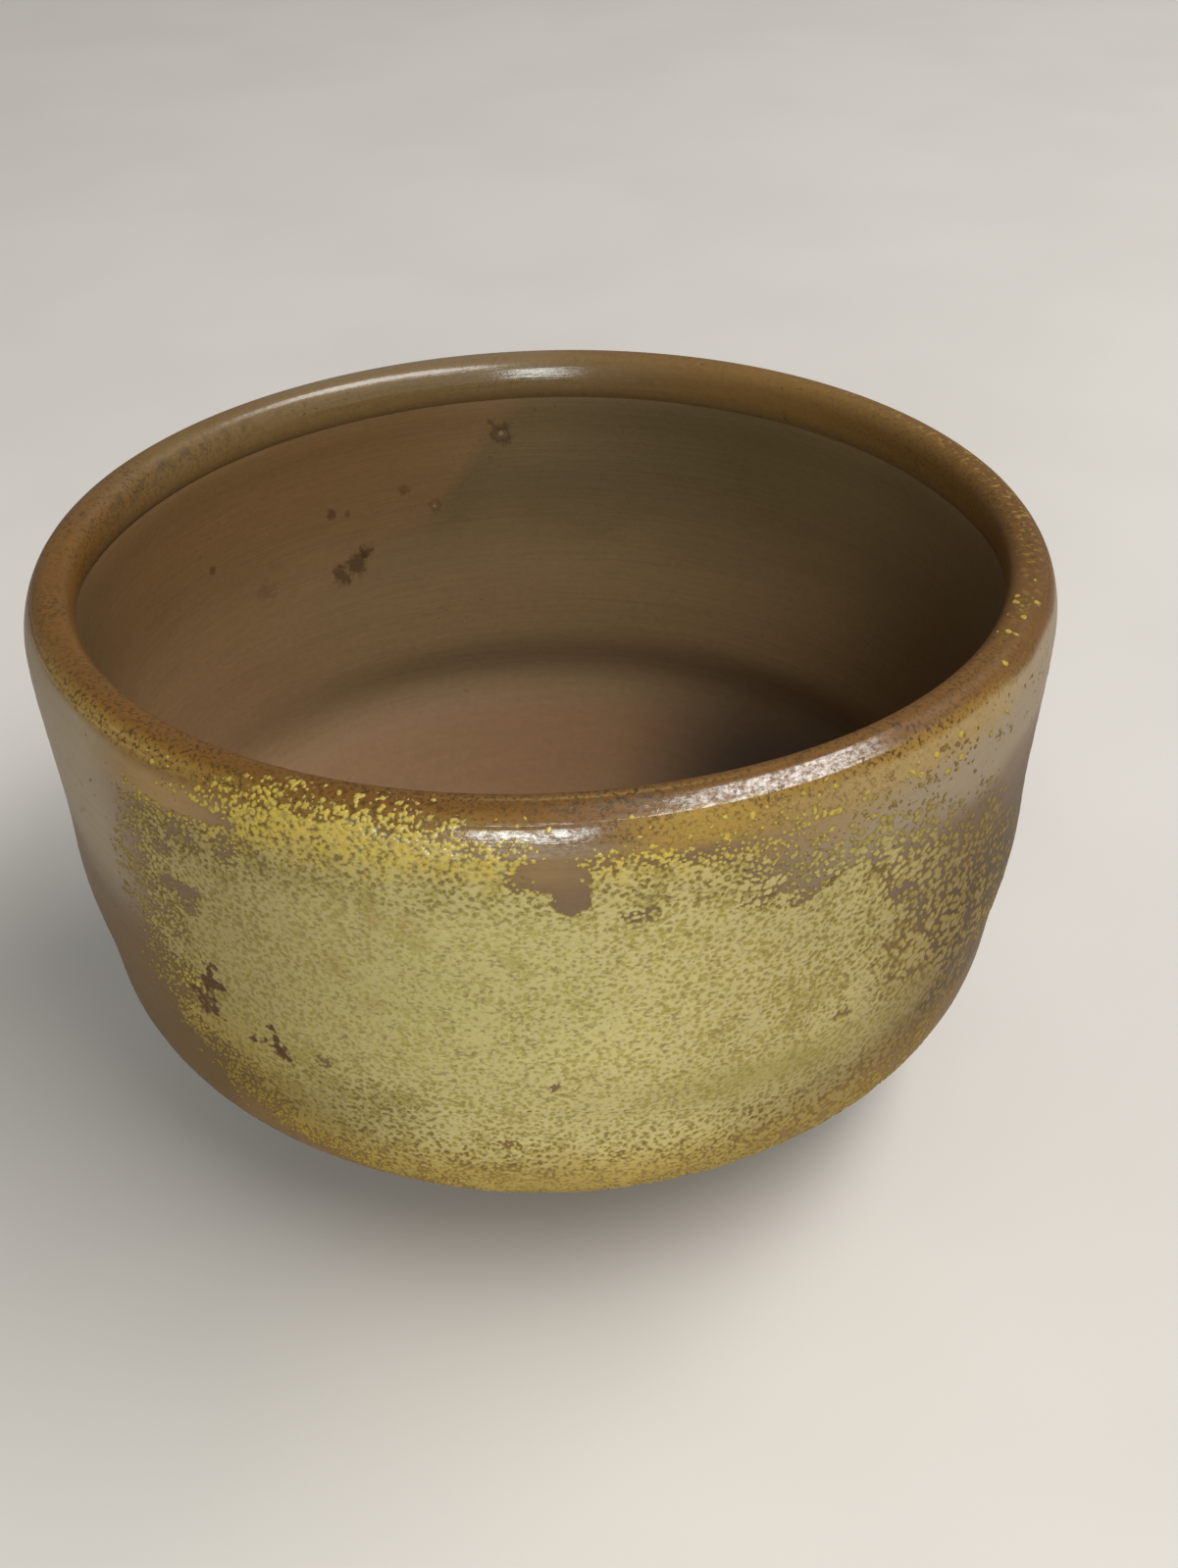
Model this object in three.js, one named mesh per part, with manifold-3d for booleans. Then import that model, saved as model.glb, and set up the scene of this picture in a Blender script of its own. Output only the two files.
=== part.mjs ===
// Tea bowl of wood-fired stoneware, in millimetres, +Z up.
// The origin is the centre of the foot ring's resting face, on the axis that the bowl was thrown on.

import * as THREE from 'three';
import { mergeVertices } from 'three/addons/utils/BufferGeometryUtils.js';
import Module from 'manifold-3d';

const wasm = await Module();
wasm.setup();

// Whole bowl
const bowlHeight = 71;
const bowlRadius = 60;              // widest point, just under the lip
const turnSteps = 72;               // facets once round the throwing axis
const joinGap = 0.3;                // luted or fused faces stand this far apart
const halvings = 40;                // steps of the search for a height

// Outside of the wall, a leaning wall that turns under at the hip
const shoulderHeight = 65.7;        // the wall is upright here, and the lip starts to round over
const wallLean = 0.101;             // the wall leans in by this much for each mm down
const leanEase = 3;                 // distance in which the lean sets in below the shoulder
const hipHeight = 31.8;             // the turn under starts here
const hipReach = 35.3;              // from there down to the point where the turn would close
const hipPower = 3.35;
const outerWallSteps = 20;
const outerWallCrowding = 1.35;     // above 1 the points lie closer together round the hip
const throwingSwells = [
  { height: 27.5, size: -0.42, width: 5 },   // shallow hollow that the fingers left
  { height: 38.5, size: 0.48, width: 6 },    // soft swell above it
];

// Rolled lip, an oval bead that hangs in over the wall
const lipOuterReach = 3;            // from the top of the lip out to the widest point
const lipTopWidth = 1;              // nearly flat crown
const lipInnerReach = 2;            // from the crown in to the bead's innermost point
const lipInnerHalf = 2.7;           // half the height of the inner bead
const lipLine = { angle: 54, depth: 0.22, width: 5 };  // fine line cut round the outer shoulder, in degrees
const lipAnglesBelowLine = [18, 36];
const lipAnglesAboveLine = [76, 90];
const beadSteps = 8;

// Inside of the wall
const creaseRadius = 55.5;          // the bead meets the wall here in a crease
const creaseEase = { size: 1.1, length: 4 };
const innerLean = 0.06;
const innerHipHeight = 33;
const innerHipSpan = 12;            // how far below that the wall has turned into the floor
const innerHipWidth = 7;
const innerHipSteps = 8;
const innerWallSteps = 8;
const innerWallCrowding = 1.4;      // above 1 the points lie closer together under the crease

// Floor
const floorHeight = 9.8;
const floorRise = 9.2;              // the floor climbs this much out to its edge
const floorPower = 2.3;
const floorSteps = 9;

// Underside and foot ring
const footOuterRadius = 29.5;
const footInnerRadius = 24;
const footHeight = 3.9;
const footTaper = 0.8;              // both faces draw in towards the resting face
const footBevel = 0.5;
const footWaist = { up: 0.5, taper: 0.35 };  // half way up, drawn in by this share of the taper
const seatHeight = footHeight + joinGap;
const seatMargin = 0.8;             // the seat runs a little past both faces of the ring
const seatBevel = 0.4;
const footWellHeight = 4.9;         // turned underside inside the ring
const footWellRise = 0.1;           // it climbs this much on its way out
const footWellRound = 3;            // and curves down to the seat over this width
const nippleRadius = 4;             // small point that the turning tool leaves at the centre
const nippleDrop = 0.5;
const nippleShare = 0.4;            // share of the drop that is left half way out

// Natural ash coat on the side that faced the fire
const coatSides = {                 // degrees from the front, which is -Y; above and below, the sides draw in
  left: { turn: 52, drawAbove: 0.12, drawBelow: 0.33, fallAbove: 2.5, waveStart: 0.4 },
  right: { turn: 62, drawAbove: 0.35, drawBelow: 0.24, fallAbove: 8, waveStart: 2 },
};
const coatBottom = 15;
const coatBottomClimb = 9;          // the lower edge climbs towards both sides
const coatTop = 65.4;
const coatOnLip = { across: -0.4, width: 0.33, climb: 4.2 };    // left of the front it runs up onto the lip
const coatNotch = { across: 0.02, width: 0.075, depth: 5 };     // bare clay bites into the upper edge
const coatEdgeWaves = {
  sides: [{ size: 2.2, rate: 5.3, start: 0.8 }, { size: 1.4, rate: 11, start: 0 }],    // in degrees
  lower: [{ size: 0.9, rate: 7, start: 0 }, { size: 0.6, rate: 17, start: 0 }],        // in millimetres
  upper: [{ size: 0.5, rate: 6, start: 1 }, { size: 0.3, rate: 19, start: 0 }],
};
const coatThickness = 0.4;
const coatEdgeThickness = 0.22;
const coatEdgeWidth = 0.25;         // share of the half width over which it thins to its edge
const coatColumns = 40;
const coatRows = 21;
const coatRowCrowding = 1.3;        // above 1 the rows lie closer together over the lip
const slopeReach = 0.5;             // the wall's slope is taken over this much above and below
const bareScars = [
  { turn: -39, height: 40.5, radius: 2.4, points: 5 },  // clay left bare where something lay against it
  { turn: -30.8, height: 36.2, radius: 2.0, points: 6 },
  { turn: 0.4, height: 36.7, radius: 1.2, points: 4 },
];
const scarWaist = 0.55;             // between its points a scar draws in to this share of its radius
const scarUneven = 0.12;            // and its points differ in length by this share
const scarCutLength = 12;

const lipRise = bowlHeight - shoulderHeight;
const crownOuter = bowlRadius - lipOuterReach;
const crownInner = crownOuter - lipTopWidth;
const beadHeight = bowlHeight - lipInnerHalf;
const creaseAngle = 2 * Math.PI - Math.acos((creaseRadius - crownInner) / lipInnerReach);
const creaseHeight = beadHeight + lipInnerHalf * Math.sin(creaseAngle);

const smoothStep = (edge, value) => {
  const t = Math.min(1, Math.max(0, value / edge));
  return t * t * (3 - 2 * t);
};

// Radius of the bare clay outside at a height: the lip's outer quarter above the shoulder, the wall below it
function outerRadius(height) {
  const below = shoulderHeight - height;
  if (below < 0) return crownOuter + lipOuterReach * Math.sqrt(1 - (below / lipRise) ** 2);
  const lean = wallLean * (Math.hypot(below, leanEase) - leanEase);
  const turn = Math.max(0, (hipHeight - height) / hipReach);
  let radius = (bowlRadius - lean) * (1 - turn ** hipPower);
  for (const swell of throwingSwells) {
    radius += swell.size * Math.exp(-(((height - swell.height) / swell.width) ** 2));
  }
  return radius;
}

// Radius of the inside between the crease and the inner hip
function innerRadius(height) {
  const below = creaseHeight - height;
  const flare = creaseEase.size * Math.exp(-below / creaseEase.length);
  return creaseRadius - creaseEase.size - innerLean * below + flare;
}

// Height at which the outside reaches a radius, found by halving
function heightAtOuterRadius(radius) {
  let low = 0;
  let high = hipHeight;
  for (let step = 0; step < halvings; step += 1) {
    const middle = (low + high) / 2;
    if (outerRadius(middle) < radius) low = middle;
    else high = middle;
  }
  return high;
}

const floorAt = (radius, edge) => floorHeight + floorRise * (radius / edge) ** floorPower;

// Points on the outside from the edge of the seat up to the shoulder
function outerWallPoints(seatEdge) {
  const points = [];
  const start = heightAtOuterRadius(seatEdge);
  for (let i = 0; i <= outerWallSteps; i += 1) {
    const t = (i / outerWallSteps) ** outerWallCrowding;
    const height = start + (shoulderHeight - start) * t;
    points.push(new THREE.Vector2(outerRadius(height), height));
  }
  return points;
}

// The bead: outer quarter with its cut line, crown, then the inner half oval down to the crease
function lipPoints() {
  const points = [];
  const besideLine = [lipLine.angle - lipLine.width, lipLine.angle, lipLine.angle + lipLine.width];
  for (const degrees of [...lipAnglesBelowLine, ...besideLine, ...lipAnglesAboveLine]) {
    const angle = THREE.MathUtils.degToRad(degrees);
    const cut = degrees === lipLine.angle ? lipLine.depth : 0;
    const radius = crownOuter + (lipOuterReach - cut) * Math.cos(angle);
    points.push(new THREE.Vector2(radius, shoulderHeight + (lipRise - cut) * Math.sin(angle)));
  }
  for (let i = 0; i < beadSteps; i += 1) {
    const angle = Math.PI / 2 + (creaseAngle - Math.PI / 2) * (i / beadSteps);
    const radius = crownInner + lipInnerReach * Math.cos(angle);
    points.push(new THREE.Vector2(radius, beadHeight + lipInnerHalf * Math.sin(angle)));
  }
  return points;
}

// Inner wall, inner hip as a quarter oval, and the dished floor to the axis
function insidePoints() {
  const points = [];
  for (let i = 0; i <= innerWallSteps; i += 1) {
    const t = (i / innerWallSteps) ** innerWallCrowding;
    const height = creaseHeight - (creaseHeight - innerHipHeight) * t;
    points.push(new THREE.Vector2(innerRadius(height), height));
  }
  const wallFoot = innerRadius(innerHipHeight);
  const floorEdge = wallFoot - innerHipWidth;
  const floorEdgeHeight = floorHeight + floorRise;
  const floorSlope = (floorRise * floorPower) / floorEdge;
  const cornerRadius = wallFoot - innerLean * innerHipSpan;
  const corner = new THREE.Vector2(cornerRadius, floorEdgeHeight + floorSlope * innerHipWidth);
  const start = points[points.length - 1];
  const end = new THREE.Vector2(floorEdge, floorEdgeHeight);
  const hip = new THREE.QuadraticBezierCurve(start, corner, end);
  points.push(...hip.getPoints(innerHipSteps).slice(1));
  for (let i = floorSteps - 1; i >= 0; i -= 1) {
    const radius = (floorEdge * i) / floorSteps;
    points.push(new THREE.Vector2(radius, floorAt(radius, floorEdge)));
  }
  return points;
}

// Turned underside from the axis out over the seat for the foot ring
function undersidePoints(seatEdge) {
  const wellEdge = footInnerRadius - seatMargin;
  return [
    new THREE.Vector2(0, footWellHeight - nippleDrop),
    new THREE.Vector2(nippleRadius / 2, footWellHeight - nippleDrop * nippleShare),
    new THREE.Vector2(nippleRadius, footWellHeight),
    new THREE.Vector2(wellEdge - footWellRound, footWellHeight + footWellRise),
    new THREE.Vector2(wellEdge, seatHeight),
    new THREE.Vector2(seatEdge - seatBevel, seatHeight),
  ];
}

// A profile of (radius, height) turned round the vertical axis
function turned(points) {
  const geometry = new THREE.LatheGeometry(points, turnSteps);
  geometry.rotateX(Math.PI / 2);
  return geometry;
}

function bowlBodyGeometry() {
  const seatEdge = footOuterRadius + seatMargin;
  return turned([
    ...undersidePoints(seatEdge),
    ...outerWallPoints(seatEdge),
    ...lipPoints(),
    ...insidePoints(),
  ]);
}

function footRingGeometry() {
  const outerFoot = footOuterRadius - footTaper;
  const innerFoot = footInnerRadius + footTaper;
  const outline = [
    [outerFoot - footBevel, 0],
    [outerFoot, footBevel],
    [footOuterRadius - footTaper * footWaist.taper, footHeight * footWaist.up],
    [footOuterRadius, footHeight],
    [footInnerRadius, footHeight],
    [footInnerRadius + footTaper * footWaist.taper, footHeight * footWaist.up],
    [innerFoot, footBevel],
    [innerFoot + footBevel, 0],
    [outerFoot - footBevel, 0],
  ];
  return turned(outline.map(([radius, height]) => new THREE.Vector2(radius, height)));
}

const waveSum = (waves, value, start = 0) =>
  waves.reduce((sum, wave) => sum + wave.size * Math.sin(wave.rate * value + wave.start + start), 0);

const bell = (value, middle, width) => Math.exp(-(((value - middle) / width) ** 4));

// Place on the coat: across from -1 at its left edge to 1 at its right, up from -1 to 1
function coatPlace(across, up) {
  const side = across > 0 ? coatSides.right : coatSides.left;
  const draw = up > 0 ? side.drawAbove : side.drawBelow;
  const sideWave = waveSum(coatEdgeWaves.sides, up, side.waveStart);
  const turn = across * (side.turn * (1 - draw * Math.abs(up) ** 3) + sideWave * Math.abs(across));
  const lowEdge = coatBottom + coatBottomClimb * across ** 2 + waveSum(coatEdgeWaves.lower, across);
  const onLip = coatOnLip.climb * bell(across, coatOnLip.across, coatOnLip.width);
  const notch = coatNotch.depth * bell(across, coatNotch.across, coatNotch.width);
  const fall = side.fallAbove * across ** 4;
  const highEdge = coatTop + onLip - notch - fall + waveSum(coatEdgeWaves.upper, across);
  return { turn, height: lowEdge + (highEdge - lowEdge) * (up + 1) / 2 };
}

function coatPoint(across, up, outside) {
  const { turn, height } = coatPlace(across, up);
  const inward = Math.min(1 - Math.abs(across), 1 - Math.abs(up));
  const body = coatThickness - coatEdgeThickness;
  const thickness = outside ? coatEdgeThickness + body * smoothStep(coatEdgeWidth, inward) : 0;
  const slope = (outerRadius(height + slopeReach) - outerRadius(height - slopeReach)) / (2 * slopeReach);
  const tilt = Math.hypot(1, slope);
  const offset = joinGap + thickness;
  const radius = outerRadius(height) + offset / tilt;
  const angle = THREE.MathUtils.degToRad(turn - 90);
  const drop = (offset * slope) / tilt;
  return [radius * Math.cos(angle), radius * Math.sin(angle), height - drop];
}

// Closed skin: an inner and an outer sheet on one grid, joined round their edge
function coatSheetGeometry() {
  const positions = [];
  const index = [];
  const columns = coatColumns + 1;
  const sheet = columns * (coatRows + 1);
  for (const outside of [false, true]) {
    for (let row = 0; row <= coatRows; row += 1) {
      const up = 1 - 2 * (1 - row / coatRows) ** coatRowCrowding;
      for (let column = 0; column <= coatColumns; column += 1) {
        positions.push(...coatPoint((2 * column) / coatColumns - 1, up, outside));
      }
    }
  }
  const quad = (a, b, c, d) => index.push(a, b, c, a, c, d);
  for (let row = 0; row < coatRows; row += 1) {
    for (let column = 0; column < coatColumns; column += 1) {
      const a = row * columns + column;
      const above = a + columns;
      quad(a, above, above + 1, a + 1);
      quad(sheet + a, sheet + a + 1, sheet + above + 1, sheet + above);
    }
  }
  const border = [];
  for (let column = 0; column < coatColumns; column += 1) border.push(column);
  for (let row = 0; row < coatRows; row += 1) border.push(row * columns + coatColumns);
  for (let column = coatColumns; column > 0; column -= 1) border.push(coatRows * columns + column);
  for (let row = coatRows; row > 0; row -= 1) border.push(row * columns);
  border.forEach((from, i) => {
    const to = border[(i + 1) % border.length];
    quad(from, to, sheet + to, sheet + from);
  });
  const geometry = new THREE.BufferGeometry();
  geometry.setAttribute('position', new THREE.Float32BufferAttribute(positions, 3));
  geometry.setIndex(index);
  return geometry;
}

// A ragged star driven through the coat along the radius
function scarCutter(scar) {
  const shape = new THREE.Shape();
  const corners = scar.points * 2;
  for (let i = 0; i < corners; i += 1) {
    const reach = scar.radius * (i % 2 ? scarWaist : 1 - scarUneven * (i % 3));
    const angle = (i / corners) * Math.PI * 2;
    if (i === 0) shape.moveTo(reach * Math.cos(angle), reach * Math.sin(angle));
    else shape.lineTo(reach * Math.cos(angle), reach * Math.sin(angle));
  }
  const geometry = new THREE.ExtrudeGeometry(shape, { depth: scarCutLength, bevelEnabled: false });
  geometry.translate(0, 0, outerRadius(scar.height) - scarCutLength / 2);
  geometry.rotateX(Math.PI / 2);
  geometry.rotateZ(THREE.MathUtils.degToRad(scar.turn));
  geometry.translate(0, 0, scar.height);
  return geometry;
}

function toSolid(geometry) {
  const bare = geometry.clone();
  bare.deleteAttribute('normal');
  bare.deleteAttribute('uv');
  const merged = mergeVertices(bare, 1e-4);
  const vertProperties = new Float32Array(merged.attributes.position.array);
  const triVerts = new Uint32Array(merged.index.array);
  return new wasm.Manifold(new wasm.Mesh({ numProp: 3, vertProperties, triVerts }));
}

function toGeometry(solid) {
  const mesh = solid.getMesh();
  const geometry = new THREE.BufferGeometry();
  geometry.setAttribute('position', new THREE.Float32BufferAttribute(mesh.vertProperties, 3));
  geometry.setIndex([...mesh.triVerts]);
  geometry.computeVertexNormals();
  return geometry;
}

function ashCoatGeometry() {
  let coat = toSolid(coatSheetGeometry());
  for (const scar of bareScars) {
    coat = coat.subtract(toSolid(scarCutter(scar)));
  }
  return toGeometry(coat);
}

function addPiece(group, name, geometry, look) {
  const mesh = new THREE.Mesh(geometry, new THREE.MeshStandardMaterial(look));
  mesh.name = name;
  group.add(mesh);
}

const bowl = new THREE.Group();
addPiece(bowl, 'bowl_body', bowlBodyGeometry(), { color: 0x6f5236, roughness: 0.45, metalness: 0 });
addPiece(bowl, 'foot_ring', footRingGeometry(), { color: 0x6b4c38, roughness: 0.7, metalness: 0 });
addPiece(bowl, 'ash_coat', ashCoatGeometry(), { color: 0x9a8a45, roughness: 0.4, metalness: 0 });

export default bowl;
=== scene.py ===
import bpy
import math
import numpy as np
from types import SimpleNamespace
from mathutils import Matrix, Vector


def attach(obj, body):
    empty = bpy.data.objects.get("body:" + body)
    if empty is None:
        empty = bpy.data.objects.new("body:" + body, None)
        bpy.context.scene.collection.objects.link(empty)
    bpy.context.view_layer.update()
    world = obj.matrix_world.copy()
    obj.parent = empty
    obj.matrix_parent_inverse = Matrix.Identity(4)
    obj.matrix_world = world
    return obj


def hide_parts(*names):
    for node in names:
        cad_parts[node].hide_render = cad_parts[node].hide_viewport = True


# Tea bowl of wood-fired stoneware with a natural ash glaze on the side that faced the fire.
# Lengths in the dictionaries are millimetres, turns are degrees from the front (-Y), positive towards +X.
# A place along the section, s, is the length in mm from the middle of the underside out, up the wall, over
# the lip and down to the middle of the floor inside.

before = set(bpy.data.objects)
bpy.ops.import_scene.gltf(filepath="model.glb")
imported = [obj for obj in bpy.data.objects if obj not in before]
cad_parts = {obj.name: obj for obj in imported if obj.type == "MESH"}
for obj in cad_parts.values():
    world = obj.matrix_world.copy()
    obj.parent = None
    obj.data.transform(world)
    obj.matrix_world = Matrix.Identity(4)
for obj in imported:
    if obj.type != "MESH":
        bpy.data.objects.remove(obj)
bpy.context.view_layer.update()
print("packed bowl loaded")

bowl = {
    "height": 71.0, "radius": 60.0,
    "shoulder": 65.7, "lean": 0.101, "leanEase": 3.0,
    "hip": 31.8, "hipReach": 35.3, "hipPower": 3.35,
    "swells": [(27.5, -0.42, 5.0), (38.5, 0.48, 6.0)],   # height, size, width
    "lipOuter": 3.0, "lipTop": 1.0, "lipInner": 2.0, "lipInnerHalf": 2.7,
    "creaseRadius": 55.5, "creaseEase": (1.1, 4.0), "creaseUnder": 67.5, "innerLean": 0.06,
    "innerHip": 33.0, "innerHipSpan": 12.0, "innerHipWidth": 7.0,
    "floor": 9.8, "floorRise": 9.2, "floorPower": 2.3,
    "wellHeight": 4.9, "wellEdge": 23.2, "wellSlope": 3.0,
    "seatHeight": 4.2, "seatEdge": 30.3, "seatCorner": 0.4,
    "nipple": (0.5, 2.3),              # drop and width of the point left by the turning tool
    "wallFrom": 32.0,                  # s where the outer wall has begun
    "cutLine": {"angle": 54.0, "depth": 0.16, "width": 0.17},
    # points of the mesh: round the axis; underneath, hip, wall, lip, inner wall and floor; by the cut line
    "columns": 304, "rows": (29, 40, 84, 74, 36, 46), "cutRows": (-0.95, 0.45, 15),
    # points along each stretch of the section, before it is drawn again at even steps
    "samples": {"under": 300, "seat": 60, "search": 4000, "wall": 900, "lip": 160, "bead": 200, "inner": 400,
                "hip": 200, "floor": 400},
    "step": 0.05, "average": 15,       # those steps, and how many points the running average takes
}

latticeSize = 256                      # random values along each side of a lattice


# Soft step from 0 to 1 between two edges, 3t² - 2t³
def ease(low, high, value):
    t = np.clip((value - low) / (high - low), 0.0, 1.0)
    return t * t * (3 - 2 * t)


# Soft step up between the first two values, times a soft step down between the last two
def span(value, start, full, ends, gone):
    return ease(start, full, value) * ease(gone, ends, value)


# Bell of height 1 round a middle
def bell(value, middle, width):
    return np.exp(-(((value - middle) / width) ** 2))


# Sum of oval spots, each its size times a bell over the turn and a bell over the height
def spots(side, height, table):
    return sum(size * bell(side, turn, wide) * bell(height, middle, tall)
               for size, turn, wide, middle, tall in table)


# Straight lines between points given as (value, result)
def between(value, points):
    return np.interp(value, *zip(*points))


# Degrees from a middle, the short way round: -180 to 180
def turnFrom(middle, degrees):
    return (degrees - middle + 180) % 360 - 180


# Smooth random field: random values on a lattice, eased between neighbours in both directions.
# around is the number of lattice columns after which it repeats.
def drift(across, up, cellAcross, cellUp, seed, around=251):
    table = np.random.default_rng(seed).normal(size=(latticeSize, latticeSize))
    a, b = across / cellAcross, up / cellUp
    i, j = np.floor(a).astype(int), np.floor(b).astype(int)
    s, t = a - i, b - j
    s, t = s * s * (3 - 2 * s), t * t * (3 - 2 * t)
    left, right = i % around, (i + 1) % around
    below, above = j % latticeSize, (j + 1) % latticeSize
    low = table[below, left] * (1 - s) + table[below, right] * s
    high = table[above, left] * (1 - s) + table[above, right] * s
    return low * (1 - t) + high * t


# The same field with so many columns in a full turn, so that it meets itself
def ringDrift(turn, up, columns, cellUp, seed):
    return drift(np.degrees(turn) % 360, up, 360 / columns, cellUp, seed, columns)


# The same field turned through two slants and added, so that its lattice doesn't show
def grain(across, up, size, seed):
    total = 0
    for k, slant in enumerate((0.55, -0.95)):
        c, s = math.cos(slant), math.sin(slant)
        total = total + drift(across * c + up * s, up * c - across * s, size, size, seed + k)
    return total


# Share from 0 to 1 of a field's values that lie below each value
def rank(field):
    order = np.empty(field.size)
    order[np.argsort(field, axis=None)] = np.arange(field.size) / field.size
    return order.reshape(field.shape)


# Separate round grains: one jittered point in each lattice cell, a dome round it, and its random number.
# Returns the height of the tallest dome from 0 to 1 and that dome's number.
def grains(across, up, size, seed, radius=0.62):
    random = np.random.default_rng(seed)
    offset = random.random((latticeSize, latticeSize, 2))
    number = random.random((latticeSize, latticeSize))
    least, spread = 0.55, 0.6          # shares of the radius
    i, j = np.floor(across / size).astype(int), np.floor(up / size).astype(int)
    best = np.zeros(across.shape)
    which = np.ones(across.shape)
    for di in (-1, 0, 1):
        for dj in (-1, 0, 1):
            p, q = (i + di) % latticeSize, (j + dj) % latticeSize
            spot = offset[q, p]
            reach = np.hypot(across / size - i - di - spot[..., 0], up / size - j - dj - spot[..., 1])
            own = radius * (least + spread * offset[p, q, 0])
            dome = np.sqrt(np.clip(1 - (reach / own) ** 2, 0, 1))
            taller = dome > best
            best = np.where(taller, dome, best)
            which = np.where(taller, number[q, p], which)
    return best, which


# Outside radius at a height: a softly leaning wall, times one minus a power of the depth below the hip,
# plus a bell for each swell that the fingers left
def outerRadius(height):
    below = bowl["shoulder"] - height
    lean = bowl["lean"] * (np.hypot(below, bowl["leanEase"]) - bowl["leanEase"])
    turnUnder = np.clip((bowl["hip"] - height) / bowl["hipReach"], 0, None)
    radius = (bowl["radius"] - lean) * (1 - turnUnder ** bowl["hipPower"])
    for middle, size, width in bowl["swells"]:
        radius = radius + size * bell(height, middle, width)
    return radius


# The whole section of the bowl as one line of (radius, height) from the axis below to the axis inside:
# underside, seat, outer wall, outer quarter of the lip, crown, inner bead, inner wall, inner hip as a curve
# pulled towards one corner, and dished floor
def sectionLine():
    count = bowl["samples"]
    r = np.linspace(0, bowl["wellEdge"], count["under"])
    drop, width = bowl["nipple"]
    fall = bowl["wellHeight"] - bowl["seatHeight"]
    slope = ease(bowl["wellEdge"] - bowl["wellSlope"], bowl["wellEdge"], r)
    under = bowl["wellHeight"] - drop * bell(r, 0, width) - fall * slope
    seat = np.linspace(bowl["wellEdge"], bowl["seatEdge"] - bowl["seatCorner"], count["seat"])
    z = np.linspace(0, bowl["hip"], count["search"])
    start = z[np.argmax(outerRadius(z) > bowl["seatEdge"])]
    wall = np.linspace(start, bowl["shoulder"], count["wall"])
    quarter = np.radians(np.linspace(0, 90, count["lip"]))
    crownOut = bowl["radius"] - bowl["lipOuter"]
    crownIn = crownOut - bowl["lipTop"]
    rise = bowl["height"] - bowl["shoulder"]
    beadMiddle = bowl["height"] - bowl["lipInnerHalf"]
    last = 2 * math.pi - math.acos((bowl["creaseRadius"] - crownIn) / bowl["lipInner"])
    bead = np.linspace(math.pi / 2, last, count["bead"])
    creaseHeight = beadMiddle + bowl["lipInnerHalf"] * math.sin(last)
    down = np.linspace(creaseHeight, bowl["innerHip"], count["inner"])
    size, length = bowl["creaseEase"]
    below = creaseHeight - down
    inner = bowl["creaseRadius"] - size - bowl["innerLean"] * below + size * np.exp(-below / length)
    footOfWall = inner[-1]
    edge = footOfWall - bowl["innerHipWidth"]
    edgeHeight = bowl["floor"] + bowl["floorRise"]
    slope = bowl["floorRise"] * bowl["floorPower"] / edge
    cornerR = footOfWall - bowl["innerLean"] * bowl["innerHipSpan"]
    cornerZ = edgeHeight + slope * bowl["innerHipWidth"]
    t = np.linspace(0, 1, count["hip"])
    hipR = (1 - t) ** 2 * footOfWall + 2 * t * (1 - t) * cornerR + t ** 2 * edge
    hipZ = (1 - t) ** 2 * bowl["innerHip"] + 2 * t * (1 - t) * cornerZ + t ** 2 * edgeHeight
    floorR = np.linspace(edge, 0, count["floor"])
    floorZ = bowl["floor"] + bowl["floorRise"] * (floorR / edge) ** bowl["floorPower"]
    radius = [r, seat, outerRadius(wall), crownOut + bowl["lipOuter"] * np.cos(quarter),
              crownIn + bowl["lipInner"] * np.cos(bead), inner, hipR, floorR]
    height = [under, np.full(len(seat), bowl["seatHeight"]), wall, bowl["shoulder"] + rise * np.sin(quarter),
              beadMiddle + bowl["lipInnerHalf"] * np.sin(bead), down, hipZ, floorZ]
    return np.concatenate(radius), np.concatenate(height)


# The section again at even steps, with its corners eased by a running average, and its normals.
# The average runs on past both ends into the section's mirror image.
def sectionTable():
    r, z = sectionLine()
    apart = np.hypot(np.diff(r), np.diff(z)) > 1e-6
    keep = np.concatenate([[True], apart])
    r, z = r[keep], z[keep]
    along = np.concatenate([[0], np.cumsum(np.hypot(np.diff(r), np.diff(z)))])
    even = np.linspace(0, along[-1], int(along[-1] / bowl["step"]))
    r, z = np.interp(even, along, r), np.interp(even, along, z)
    window = np.hanning(bowl["average"]) / np.hanning(bowl["average"]).sum()
    before, after = slice(bowl["average"] // 2, 0, -1), slice(-2, -2 - bowl["average"] // 2, -1)
    r = np.convolve(np.concatenate([-r[before], r, -r[after]]), window, "valid")
    z = np.convolve(np.concatenate([z[before], z, z[after]]), window, "valid")
    dr, dz = np.gradient(r), np.gradient(z)
    size = np.hypot(dr, dz)
    return even, r, z, dz / size, -dr / size


lineS, lineR, lineZ, lineNr, lineNz = sectionTable()
topS = lineS[np.argmax(lineZ)]         # the crown of the lip
outsidePart = (lineS > bowl["wallFrom"]) & (lineS < topS)
insidePart = lineS > topS


# Where the outer wall has a height, read from the section's table
def outsideS(height):
    return float(np.interp(height, lineZ[outsidePart], lineS[outsidePart]))


# Where the inner wall has a height; there s grows as the height falls
def insideS(height):
    return float(np.interp(-height, -lineZ[insidePart], lineS[insidePart]))


cutAngle = math.radians(bowl["cutLine"]["angle"])
cutS = outsideS(bowl["shoulder"] + (bowl["height"] - bowl["shoulder"]) * math.sin(cutAngle))
creaseS = lineS[insidePart][np.argmax(lineR[insidePart] * (lineZ[insidePart] < bowl["creaseUnder"]))]


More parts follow.
